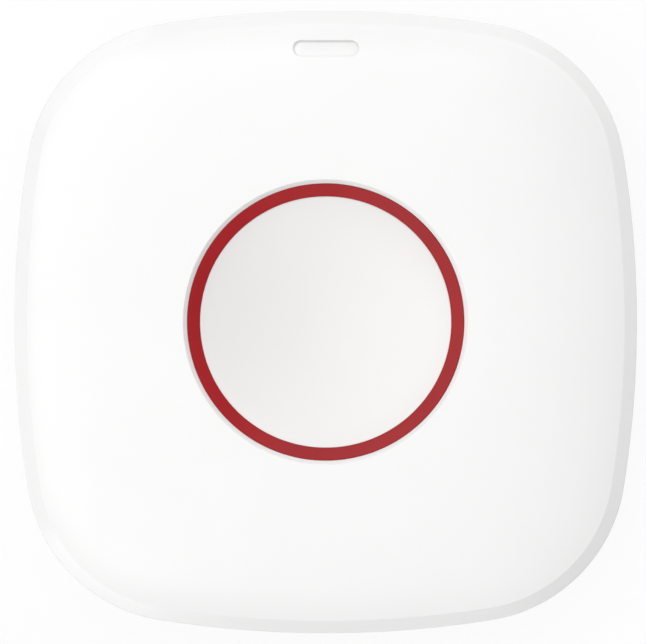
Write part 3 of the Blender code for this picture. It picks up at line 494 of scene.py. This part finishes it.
def slotOutline(inset, shift=0):
    height = slotShape["height"] - 2 * inset
    return roundedOutline(slotShape["length"] - 2 * inset, height, height / 2, (shift, slotY - shift),
                          slotShape["endSteps"])


def slotCutter():
    reach = slotShape["height"]
    slope = (faceHeightAt(slotY + reach) - faceHeightAt(slotY - reach)) / (2 * reach)
    shift = slotShape["lean"] / 2
    floor, mouth, lip = slotOutline(shift, shift), slotOutline(0), slotOutline(-slotShape["flare"])
    plane = faceHeightAt(slotY)
    middle = np.array([[0, slotY]]).repeat(len(floor), axis=0)
    below, above = faceEdge - 2 * frontCover["wall"], faceTop + frontCover["wall"]
    rows = [(ringAt(middle, below), 0), (ringAt(floor, below), 0), (ringAt(floor, slotFloor), 0),
            (ringAt(mouth, plane + slope * (mouth[:, 1] - slotY)), slotShape["lipRound"]),
            (ringAt(lip, plane + slope * (lip[:, 1] - slotY) + slotShape["flareRise"]), 0),
            (ringAt(lip, above), 0), (ringAt(middle, above), 0)]
    return lofted("slotCutter", rows)


def makeFrontCover():
    look = frontCover
    rim, edge = look["rimRound"], look["edgeRound"]
    shares = (np.arange(1, look["faceRows"]) / look["faceRows"]) ** look["rowPower"]
    ceilingShares = (np.arange(look["ceilingRows"] - 2, 0, -1) / look["ceilingRows"]) ** look["rowPower"]
    wellFloor, ceiling = faceTop - look["wellDepth"], faceTop - look["wall"]
    outside = wellRadius + look["wellWall"]
    rows = [(casingRing(look["wall"], coverLow.z), rim),
            (casingRing(0, coverLow.z), rim),
            (casingRing(look["wallDraft"], faceEdge - look["chamferDrop"]), rim),
            (casingRing(look["chamferWidth"], faceEdge), edge)]
    rows += [(faceRing(share, 0), 0) for share in shares]
    rows += [(circleRing(mouthRadius, faceTop), look["mouthRound"]),
             (circleRing(wellRadius, faceTop - look["mouthDrop"]), look["mouthRound"]),
             (circleRing(wellRadius, wellFloor), edge),
             (circleRing(outside, wellFloor), edge),
             (circleRing(outside, ceiling), 0)]
    rows += [(faceRing(share, look["wall"]), 0) for share in ceilingShares]
    rows += [(casingRing(look["wall"], faceEdge - look["wall"]), 0)]
    cover = lofted("frontCover", rows, closed=True)
    bottom, boreEnd = look["bossBottom"], look["bossBottom"] + look["bossBoreDepth"]
    bosses = [turned(f"boss{n}", [
        (0, ceiling, 0), (look["bossRadius"], ceiling, 0), (look["bossRadius"], bottom, rim),
        (look["bossBore"], bottom, rim), (look["bossBore"], boreEnd, 0), (0, boreEnd, 0)],
        centre, look["bossColumns"]) for n, centre in enumerate(screwCentres, 1)]
    carve(cover, bosses, "UNION")
    carve(cover, [slotCutter()], "DIFFERENCE")
    place(cover, "housing", ["front_cover"], caseWhite)


makeFrontCover()
print("scene: front cover made")


# Window: a milky block that fills the slot, on its fixing flange under the face. Its top is a pillow:
# height = slot floor + crown * (1 - (1 - u)^2), where u runs from 0 on the outline to 1 on the middle line.
windowShape = {
    "press": 0.00003,
    "edgeRound": 0.00001,
    "crown": 0.00003,
    "crownRows": 6,
    "flangeDrop": 0.0023,
    "flangeThickness": 0.0008,
}


def makeWindow():
    look = windowShape
    edge, shift = look["edgeRound"], slotShape["lean"] / 2
    inset = shift - look["press"]
    column, reach = slotOutline(inset, shift), slotShape["height"] / 2 - inset
    flangeHeight = windowHigh.y - windowLow.y
    flange = roundedOutline(windowHigh.x - windowLow.x, flangeHeight, flangeHeight / 2, (0, slotY),
                            slotShape["endSteps"])
    middle = np.array([[shift, slotY - shift]]).repeat(len(column), axis=0)
    flangeTop = faceEdge - look["flangeDrop"]
    flangeBottom = flangeTop - look["flangeThickness"]
    rows = [(ringAt(middle, windowLow.z), 0), (ringAt(column, windowLow.z), edge),
            (ringAt(column, flangeBottom), 0), (ringAt(flange, flangeBottom), edge),
            (ringAt(flange, flangeTop), edge), (ringAt(column, flangeTop), 0),
            (ringAt(column, slotFloor), edge)]
    for u in np.linspace(0, 1, look["crownRows"] + 1)[1:]:
        height = slotFloor + look["crown"] * (1 - (1 - u) ** 2)
        rows.append((ringAt(slotOutline(inset + reach * u, shift), height), 0))
    window = lofted("statusWindow", rows)
    place(window, "housing", ["status_window"], windowMilky)


makeWindow()
print("scene: window made")


# Cap: a turned profile. Its dish is part of a sphere, steepened near its rim:
# height = lowest + R - sqrt(R^2 - radius^2) + rim rise * (radius / edge radius)^rim power,
# with R = (edge radius^2 + depth^2) / (2 * depth)
buttonCap = {
    "radius": 0.01307,
    "dishDepth": 0.0016,
    "rimRise": 0.0002,
    "rimPower": 12,
    "ringProud": 0.0003,
    "thickness": 0.001,
    "dishRows": 40,
    "columns": 180,
    "edgeRound": 0.00005,
    "rabbetDrop": 0.0012,
    "flangeThickness": 0.001,
    "skirtWall": 0.0018,
    "ribOuter": 0.0055,
    "ribWall": 0.0006,
    "ribDrop": 0.0006,
    "actuatorRadius": 0.0026,
    "actuatorLength": 0.0006,
}


def makeButtonCap():
    look = buttonCap
    edge, thickness = look["edgeRound"], look["thickness"]
    lowest = ringHigh.z - look["ringProud"] - look["dishDepth"] - look["rimRise"]
    sphere = (look["radius"] ** 2 + look["dishDepth"] ** 2) / (2 * look["dishDepth"])

    def dishHeight(radius):
        rim = look["rimRise"] * (radius / look["radius"]) ** look["rimPower"]
        return lowest + sphere - np.sqrt(sphere ** 2 - radius ** 2) + rim

    radii = look["radius"] * np.linspace(0, 1, look["dishRows"])
    profile = [(radius, dishHeight(radius), 0) for radius in radii[:-1]]
    rabbet = ringHigh.z - look["rabbetDrop"]
    skirt, flangeRadius = ringHigh.x, capHigh.x
    flangeTop = capLow.z + look["flangeThickness"]
    inner = skirt - look["skirtWall"]
    ribInner, ribOuter = look["ribOuter"] - look["ribWall"], look["ribOuter"]
    under = lowest - thickness
    profile += [
        (look["radius"], dishHeight(look["radius"]), edge), (look["radius"], rabbet, 0),
        (skirt, rabbet, edge), (skirt, flangeTop, edge),
        (flangeRadius, flangeTop, edge), (flangeRadius, capLow.z, edge),
        (inner, capLow.z, edge), (inner, dishHeight(inner) - thickness, edge),
        (ribOuter, dishHeight(ribOuter) - thickness, 0), (ribOuter, under - look["ribDrop"], edge),
        (ribInner, under - look["ribDrop"], edge), (ribInner, dishHeight(ribInner) - thickness, 0),
        (look["actuatorRadius"], under, 0), (look["actuatorRadius"], under - look["actuatorLength"], edge),
        (0, under - look["actuatorLength"], 0)]
    cap = turned("buttonCap", profile, columns=look["columns"])
    place(cap, "button", ["button_cap"], capWhite)


makeButtonCap()


# Ring: a turned band whose top leans in, carrying on the dish's slope
buttonRing = {
    "lean": math.radians(8),
    "fit": 0.00001,
    "outerRound": 0.00008,
    "innerRound": 0.00003,
    "roundSteps": 8,
}


def makeButtonRing():
    look = buttonRing
    inner, outer = buttonCap["radius"] + look["fit"], ringHigh.x
    innerTop = ringHigh.z - (outer - inner) * math.tan(look["lean"])
    ring = turned("buttonRing", [
        (inner, innerTop, look["innerRound"]), (outer, ringHigh.z, look["outerRound"]),
        (outer, ringLow.z, look["innerRound"]), (inner, ringLow.z, 0)],
        columns=buttonCap["columns"], closed=True, steps=look["roundSteps"])
    place(ring, "button", ["button_ring"], ringRed)


makeButtonRing()
print("scene: button made")


# Return spring: a round wire along a helix whose pitch dies away at both ends,
# height = low + rise * (3 share^2 - 2 share^3). Each ring of the wire is
# its centre + wire radius * (cos * outward + sin * upright).
returnSpring = {
    "wireRadius": 0.0003,
    "turns": 4,
    "turnSteps": 40,
    "wireSteps": 12,
}


def makeReturnSpring():
    look = returnSpring
    low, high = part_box("button_spring")
    wire = look["wireRadius"]
    radius, bottom, rise = high.x - wire, low.z + wire, high.z - low.z - 2 * wire
    share = np.linspace(0, 1, look["turns"] * look["turnSteps"] + 1)
    angle = 2 * math.pi * look["turns"] * share
    outward = np.stack([np.cos(angle), np.sin(angle), np.zeros_like(angle)], axis=-1)
    path = radius * outward
    path[:, 2] = bottom + rise * (3 * share ** 2 - 2 * share ** 3)
    upright = unit(np.cross(outward, np.gradient(path, axis=0)))
    turn = evenBearings(look["wireSteps"])[None, :, None]
    rings = path[:, None] + wire * (np.cos(turn) * outward[:, None] + np.sin(turn) * upright[:, None])
    ends = [path[end][None, None].repeat(look["wireSteps"], axis=1) for end in (0, -1)]
    spring = surface("buttonSpring", np.concatenate([ends[0], rings, ends[1]]))
    place(spring, "housing", ["button_spring"], steelMetal)
    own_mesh(spring)


makeReturnSpring()
print("scene: return spring made")


# Rear cover: a shell with bosses and posts, and what is cut from them
rearCover = {
    "depth": 0.0052,
    "floor": 0.0018,
    "edgeInset": 0.004,
    "edgeRows": 14,
    "rimStep": 0.00015,
    "tongueInset": 0.0023,
    "tongueWall": 0.001,
    "tongueDraft": 0.0002,
    "floorFillet": 0.0009,
    "doorRecess": 0.0135,
    "doorBore": 0.012,
    "collarWall": 0.003,
    "doorSeat": 0.0015,
    "ledge": 0.0009,
    "bossRadius": 0.004,
    "bossTop": 0.0084,
    "bossColumns": 64,
    "screwRecess": 0.0024,
    "screwHeadRadius": 0.0024,
    "screwBore": 0.0014,
    "postRadius": 0.0024,
    "postBore": 0.001,
    "postBoreDepth": 0.0025,
    "postColumns": 48,
    "holeColumns": 40,
    "slotWidth": 0.0038,
    "slotLength": 0.0057,
    "slotCorner": 0.0004,
    "slotShift": -0.00195,
    "hookPlaces": (0.021, 0.009),
    "pinRadius": 0.0009,
    "notchReach": 0.0017,
    "notchTurn": math.radians(45),
    "notchHalfAngle": math.radians(16),
    "round": 0.0002,
}
floorTop = rearLow.z + rearCover["floor"]
doorSeat = rearLow.z + rearCover["doorSeat"]
ledgeTop = doorSeat + rearCover["ledge"]
postX = (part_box("board_screw_2")[0].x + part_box("board_screw_2")[1].x) / 2
postCentres = [(side * postX, 0) for side in (-1, 1)]
pinPlace = middleOf(*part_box("pairing_switch_stem"))
hookCentres = [(x * rearCover["hookPlaces"][0], y * rearCover["hookPlaces"][1])
               for x, y in ((1, 1), (-1, 1), (-1, -1), (1, -1))]


tabCount = 3


# Bearings of the battery door's tabs
def tabBearing(number):
    return math.pi / 2 + number * 2 * math.pi / tabCount


# Section from the door's recess round the back edge and the tongue, over floor and collar. The back edge
# is a quarter ellipse: inset = step + (edge inset - step) * (1 - sin a), height = back + depth * (1 - cos a)
def rearShell():
    look = rearCover
    edge, back = look["round"], rearLow.z
    inner, collar = look["tongueInset"] + look["tongueWall"], look["doorBore"] + look["collarWall"]
    rows = [(circleRing(look["doorRecess"], back), edge)]
    for a in np.linspace(0, math.pi / 2, look["edgeRows"]):
        inset = look["rimStep"] + (look["edgeInset"] - look["rimStep"]) * (1 - math.sin(a))
        rows.append((casingRing(inset, back + look["depth"] * (1 - math.cos(a))), 0))
    rows[-1] = (rows[-1][0], edge)
    rows += [(casingRing(look["tongueInset"], back + look["depth"]), 0),
             (casingRing(look["tongueInset"], rearHigh.z), edge),
             (casingRing(inner, rearHigh.z), edge),
             (casingRing(inner + look["tongueDraft"], floorTop), look["floorFillet"]),
             (circleRing(collar, floorTop), edge),
             (circleRing(collar, ledgeTop), edge),
             (circleRing(look["doorBore"], ledgeTop), edge),
             (circleRing(look["doorBore"], doorSeat), 0),
             (circleRing(look["doorRecess"], doorSeat), 0)]
    return lofted("rearCover", rows, closed=True)


# Start of the profile that cuts a round hole in the back, its mouth chamfered by the cover's rounding
def flaredMouth(radius):
    back, edge, over = rearLow.z, rearCover["round"], rearCover["floor"]
    return [(0, back - over, 0), (radius + edge, back - over, 0), (radius + edge, back, 0),
            (radius, back + edge, 0)]


# Sector of a ring: out along one arc and back along the other
def sectorOutline(inner, outer, middle, halfAngle, steps=14):
    bearings = middle + halfAngle * np.linspace(-1, 1, steps)
    arc = np.stack([np.cos(bearings), np.sin(bearings)], axis=-1)
    return np.concatenate([arc * outer, arc[::-1] * inner])


# Cutters for the screws, the posts' bores, the hooks, the door's tabs and the pin, each reaching well
# past the faces that it opens
def rearCutters():
    look = rearCover
    edge, back, bossTop, over = look["round"], rearLow.z, look["bossTop"], look["floor"]
    bore, head, recess = look["screwBore"], look["screwHeadRadius"], back + look["screwRecess"]
    screwHole = flaredMouth(head) + [
        (head, recess, 0), (bore, recess, 0), (bore, bossTop + over, 0), (0, bossTop + over, 0)]
    cuts = [turned(f"screwCut{n}", screwHole, centre, look["bossColumns"])
            for n, centre in enumerate(screwCentres, 1)]
    cuts += [post(f"postCut{n}", look["postBore"], bossTop - look["postBoreDepth"], bossTop + over, 0,
                  centre, look["holeColumns"])
             for n, centre in enumerate(postCentres, 1)]
    for n, (x, y) in enumerate(hookCentres, 1):
        outline = roundedOutline(look["slotWidth"], look["slotLength"], look["slotCorner"],
                                 (x, y + look["slotShift"]))
        cuts.append(block(f"hookCut{n}", outline, back - over, floorTop + over, 0))
    for n in range(tabCount):
        outline = sectorOutline(look["doorBore"] - edge, look["doorBore"] + look["notchReach"],
                                tabBearing(n) - look["notchTurn"], look["notchHalfAngle"])
        cuts.append(block(f"notch{n}", outline, doorSeat - edge, ledgeTop + over, 0))
    pinHole = flaredMouth(look["pinRadius"]) + [
        (look["pinRadius"], floorTop + over, 0), (0, floorTop + over, 0)]
    cuts.append(turned("pinCut", pinHole, pinPlace, look["holeColumns"]))
    return cuts


def makeRearCover():
    look = rearCover
    root, bossTop, edge = rearLow.z + look["floor"] / 2, look["bossTop"], look["round"]
    cover = rearShell()
    joined = [post(f"rearBoss{n}", look["bossRadius"], root, bossTop, edge, centre, look["bossColumns"])
              for n, centre in enumerate(screwCentres, 1)]
    joined += [post(f"post{n}", look["postRadius"], root, bossTop, edge, centre, look["postColumns"])
               for n, centre in enumerate(postCentres, 1)]
    carve(cover, joined, "UNION")
    carve(cover, rearCutters(), "DIFFERENCE")
    place(cover, "housing", ["rear_cover"], backWhite)


makeRearCover()
print("scene: rear cover made")


# Battery door: turned flange and hollow plug with three tabs, and a coin slot with a sunk floor
batteryDoor = {
    "radius": 0.0132,
    "columns": 160,
    "flange": 0.0012,
    "web": 0.0019,
    "plugBore": 0.0103,
    "plugRadius": 0.0117,
    "ledge": 0.0009,
    "gap": 0.0003,
    "tab": 0.0008,
    "tabReach": 0.0014,
    "tabHalfAngle": math.radians(13),
    "tabRound": 0.0001,
    "grooveHalf": 0.00045,
    "grooveDepth": 0.00075,
    "slotLength": 0.014,
    "slotWidth": 0.0018,
    "slotDepth": 0.0008,
    "round": 0.0002,
}


def makeBatteryDoor():
    look = batteryDoor
    edge, back, radius = look["round"], doorLow.z, look["radius"]
    bore, plug, deep = look["plugBore"], look["plugRadius"], look["plugRadius"] - look["grooveDepth"]
    webTop, flangeTop, top = back + look["web"], back + look["flange"], doorHigh.z
    groove = flangeTop + look["gap"] + look["ledge"] / 2
    grooveLow, grooveHigh = groove - look["grooveHalf"], groove + look["grooveHalf"]
    door = turned("batteryDoor", [
        (0, webTop, 0), (bore, webTop, edge), (bore, top, edge), (plug, top, edge),
        (plug, grooveHigh, 0), (deep, grooveHigh, 0), (deep, grooveLow, 0), (plug, grooveLow, 0),
        (plug, flangeTop, 0), (radius, flangeTop, edge), (radius, back, edge), (0, back, 0)],
        columns=look["columns"])
    tabs = []
    inner, outer = (bore + plug) / 2, plug + look["tabReach"]
    for n in range(tabCount):
        outline = sectorOutline(inner, outer, tabBearing(n), look["tabHalfAngle"])
        tabs.append(block(f"doorTab{n}", outline, top - look["tab"], top, look["tabRound"]))
    carve(door, tabs, "UNION")
    slot = block("coinSlot", roundedOutline(look["slotLength"], look["slotWidth"], look["slotWidth"] / 2),
                 back - look["slotDepth"], back + look["slotDepth"], 0)
    carve(door, [slot], "DIFFERENCE")
    place(door, "battery_door", ["battery_door"], backWhite)


makeBatteryDoor()
print("scene: battery door made")


# Wall bracket: a flat plate of the casing's outline with sunk screw holes and four hooks. Its flats have
# rows at shares of that outline.
wallBracket = {
    "inset": 0.005,
    "thickness": 0.002,
    "plateShares": (0, 0.5),
    "backRound": 0.0003,
    "edgeRound": 0.0005,
    "hookWidth": 0.0032,
    "hookStem": 0.0016,
    "hookLip": 0.0012,
    "hookReach": 0.003,
    "hookRound": 0.00015,
    "hookRoundSteps": 3,
    "holeRadius": 0.0019,
    "sinkRadius": 0.0037,
    "sinkDepth": 0.0014,
    "holeSpread": 0.018,
    "holeColumns": 64,
}


# Hook: an L in side view, carried across the hook's width and bevelled
def hookSolid(name, centre):
    look = wallBracket
    root, lipTop = look["thickness"] / 2, bracketHigh.z
    lipBottom = lipTop - look["hookLip"]
    half, tip = look["hookStem"] / 2, look["hookStem"] / 2 + look["hookReach"]
    profile = [(-half, root), (half, root), (half, lipBottom),
               (tip, lipBottom), (tip, lipTop), (-half, lipTop)]
    count = len(profile)
    points = [(centre[0] + side * look["hookWidth"] / 2, centre[1] + y, z)
              for side in (-1, 1) for y, z in profile]
    sides = [(k, (k + 1) % count, (k + 1) % count + count, k + count) for k in range(count)]
    ends = [tuple(range(count)), tuple(range(2 * count - 1, count - 1, -1))]
    mesh = bpy.data.meshes.new(name)
    mesh.from_pydata(points, [], sides + ends)
    hook = linked(name, mesh)
    bevel = hook.modifiers.new("soft", "BEVEL")
    bevel.width, bevel.segments = look["hookRound"], look["hookRoundSteps"]
    bevel.limit_method = "ANGLE"
    return hook


def makeWallBracket():
    look = wallBracket
    outline, thickness = casingOutline(look["inset"]), look["thickness"]
    rows = [(ringAt(outline * share, 0), 0) for share in look["plateShares"]]
    rows += [(ringAt(outline, 0), look["backRound"]), (ringAt(outline, thickness), look["edgeRound"])]
    rows += [(ringAt(outline * share, thickness), 0) for share in reversed(look["plateShares"])]
    bracket = lofted("wallBracket", rows)
    carve(bracket, [hookSolid(f"hook{n}", centre) for n, centre in enumerate(hookCentres, 1)], "UNION")
    over = look["sinkDepth"]
    slope = (look["sinkRadius"] - look["holeRadius"]) / look["sinkDepth"]
    holes = [turned(f"wallHole{n}", [
        (0, -over, 0), (look["holeRadius"], -over, 0), (look["holeRadius"], thickness - look["sinkDepth"], 0),
        (look["sinkRadius"] + slope * over, thickness + over, 0), (0, thickness + over, 0)],
        (0, side * look["holeSpread"]), look["holeColumns"]) for n, side in enumerate((1, -1), 1)]
    carve(bracket, holes, "DIFFERENCE")
    place(bracket, "wall_bracket", ["wall_bracket"], backWhite)


makeWallBracket()
print("scene: wall bracket made")


# Screws: a turned pan head and shank with a cross recess cut into the head. Shares are of the head's
# radius; the case's screws have their heads at the back, the board's at the front.
screwShape = {
    "caseHead": 0.0013,
    "boardHead": 0.0009,
    "shankShare": 0.52,
    "topShare": 0.8,
    "slopeShare": 0.31,
    "round": 0.00012,
    "columns": 64,
    "recess": 0.0007,
    "crossWidth": 0.0005,
    "crossCorner": 0.0001,
    "crossShare": 1.5,
}


def makeScrew(node, piece, headHeight, sign):
    look = screwShape
    low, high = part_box(node)
    centre, headRadius = middleOf(low, high), (high.x - low.x) / 2
    shank = headRadius * look["shankShare"]
    top, tip = (high.z, low.z) if sign > 0 else (low.z, high.z)
    seat = top - sign * headHeight
    screw = turned(piece, [
        (0, top, 0), (headRadius * look["topShare"], top, look["round"]),
        (headRadius, top - sign * headRadius * look["slopeShare"], look["round"]), (headRadius, seat, 0),
        (shank, seat, 0), (shank, tip + sign * shank, 0), (shank / 2, tip, 0), (0, tip, 0)],
        centre, look["columns"])
    length, width = headRadius * look["crossShare"], look["crossWidth"]
    cross = [block(f"{piece}Cross{n}", roundedOutline(*size, look["crossCorner"], centre),
                   top - look["recess"], top + look["recess"], 0)
             for n, size in enumerate(((length, width), (width, length)))]
    carve(screw, cross, "DIFFERENCE")
    place(screw, "housing", [node], steelMetal)


for number in (1, 2, 3, 4):
    makeScrew(f"case_screw_{number}", f"caseScrew{number}", screwShape["caseHead"], -1)
for number in (1, 2):
    makeScrew(f"board_screw_{number}", f"boardScrew{number}", screwShape["boardHead"], 1)
print("scene: screws made")


# Nodes that stay as they are, inside the casing, with their finishes
insideFinishes = {
    "battery_door_seal": sealBlack,
    "coin_cell": cellMetal,
    "battery_contact_positive": contactMetal,
    "battery_contact_negative": contactMetal,
    "circuit_board": boardGreen,
    "radio_shield": shieldMetal,
    "microcontroller": blackPlastic,
    "crystal": shieldMetal,
    "status_led": ledBody,
    "antenna_coil": copperMetal,
    "tact_switch_base": blackPlastic,
    "tact_switch_stem": stemPlastic,
    "pairing_switch_base": blackPlastic,
    "pairing_switch_stem": stemPlastic,
}
for nodeName, finish in insideFinishes.items():
    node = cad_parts[nodeName]
    node.data.materials.clear()
    node.data.materials.append(finish)
print("scene: inner pieces finished")


# Table and studio light. A lamp is a square or strip softbox that faces the button from a bearing
# (0 right, 90 up in the picture) and a height angle, both in degrees.
studio = {
    "floorHalf": 6.0,
    "floorGap": 0.00001,
    "floorColour": (0.95, 0.95, 0.95),
    "floorCloudScale": 30,
    "floorCloudShare": 0.005,
    "floorRoughness": 0.9,
    "floorWash": 0.9,
    "skyStrength": 0.26,
    "distance": 1.0,
    "lamps": {
        "topLeft": {"bearing": 158, "height": 74, "size": (0.7, 0.7), "power": 2.7},
        "topFront": {"bearing": 200, "height": 74, "size": (0.7, 0.7), "power": 1.2},
        "front": {"bearing": 260, "height": 58, "size": (0.7, 0.7), "power": 0.95},
        "back": {"bearing": 90, "height": 58, "size": (0.7, 0.7), "power": 1.7},
        "rightBack": {"bearing": 45, "height": 36, "size": (0.7, 0.7), "power": 2.1},
        "stripBack": {"bearing": 130, "height": 10, "size": (1.0, 0.16), "power": 1.4},
        "stripFront": {"bearing": 235, "height": 10, "size": (1.0, 0.16), "power": 2.6},
    },
}


# 1 where the camera sees a surface straight, in a gloss or through glass, and 0 where it only gives light
def seenDirectly(tree):
    path = addNode(tree, "ShaderNodeLightPath")
    seen = path.outputs["Is Camera Ray"]
    for ray in ("Is Glossy Ray", "Is Transmission Ray"):
        either = addNode(tree, "ShaderNodeMath", operation="ADD", use_clamp=True)
        tree.links.new(seen, either.inputs[0])
        tree.links.new(path.outputs[ray], either.inputs[1])
        seen = either.outputs[0]
    return seen


# Table: a matt floor that a white wash covers for the most part where it's seen
def makeFloor():
    bpy.ops.mesh.primitive_plane_add(size=2 * studio["floorHalf"], location=(0, 0, -studio["floorGap"]))
    floor = bpy.context.object
    floor.name = "table"
    material, tree, shader = newMaterial("tableWhite")
    colour = np.array(studio["floorColour"])
    cloud = noiseOn(tree, studio["floorCloudScale"])
    tint = blendTints(tree, cloud, colour * (1 - studio["floorCloudShare"]), colour)
    tree.links.new(tint, shader.inputs["Base Color"])
    shader.inputs["Roughness"].default_value = studio["floorRoughness"]
    shader.inputs["Specular IOR Level"].default_value = 0.0
    wash = addNode(tree, "ShaderNodeEmission", in_Color=(1, 1, 1, 1), in_Strength=1.0)
    amount = addNode(tree, "ShaderNodeMath", operation="MULTIPLY")
    amount.inputs[1].default_value = studio["floorWash"]
    tree.links.new(seenDirectly(tree), amount.inputs[0])
    mixed = addNode(tree, "ShaderNodeMixShader")
    tree.links.new(amount.outputs[0], mixed.inputs["Fac"])
    tree.links.new(shader.outputs["BSDF"], mixed.inputs[1])
    tree.links.new(wash.outputs["Emission"], mixed.inputs[2])
    tree.links.new(mixed.outputs[0], tree.nodes["Material Output"].inputs["Surface"])
    floor.data.materials.append(material)


# Sky: white where it's seen, weak as a light
def makeSky():
    world = bpy.data.worlds.new("studio")
    bpy.context.scene.world = world
    world.use_nodes = True
    tree = world.node_tree
    background = tree.nodes["Background"]
    background.inputs["Color"].default_value = (1, 1, 1, 1)
    strength = addNode(tree, "ShaderNodeMapRange", in_To_Min=studio["skyStrength"], in_To_Max=1.0)
    tree.links.new(seenDirectly(tree), strength.inputs["Value"])
    tree.links.new(strength.outputs["Result"], background.inputs["Strength"])


def makeLamp(name, look):
    lamp = bpy.data.lights.new(name, "AREA")
    lamp.shape, lamp.energy = "RECTANGLE", look["power"]
    lamp.size, lamp.size_y = look["size"]
    bearing, height = math.radians(look["bearing"]), math.radians(look["height"])
    holder = bpy.data.objects.new(name, lamp)
    direction = (math.cos(height) * math.cos(bearing), math.cos(height) * math.sin(bearing), math.sin(height))
    holder.location = Vector(direction) * studio["distance"]
    holder.rotation_euler = (-holder.location).to_track_quat("-Z", "Y").to_euler()
    holder.visible_camera = False
    bpy.context.scene.collection.objects.link(holder)


# Camera straight above, far enough for a flat view. The width that it frames at the face sets its lens.
cameraView = {
    "height": 2.0,
    "frameWidth": 0.06716,
    "sensor": 36.0,
    "shiftX": -0.00028,
    "clip": (0.1, 20),
}


def makeCamera():
    camera = bpy.data.cameras.new("camera")
    camera.sensor_width = cameraView["sensor"]
    distance = cameraView["height"] - faceTop
    camera.lens = cameraView["sensor"] * distance / cameraView["frameWidth"]
    camera.clip_start, camera.clip_end = cameraView["clip"]
    holder = bpy.data.objects.new("camera", camera)
    holder.location = (cameraView["shiftX"], 0, cameraView["height"])
    bpy.context.scene.collection.objects.link(holder)
    bpy.context.scene.camera = holder


makeFloor()
makeSky()
for lampName, lampLook in studio["lamps"].items():
    makeLamp(lampName, lampLook)
makeCamera()
bpy.context.scene.view_settings.view_transform = "Standard"
print("scene: table, light and camera set")
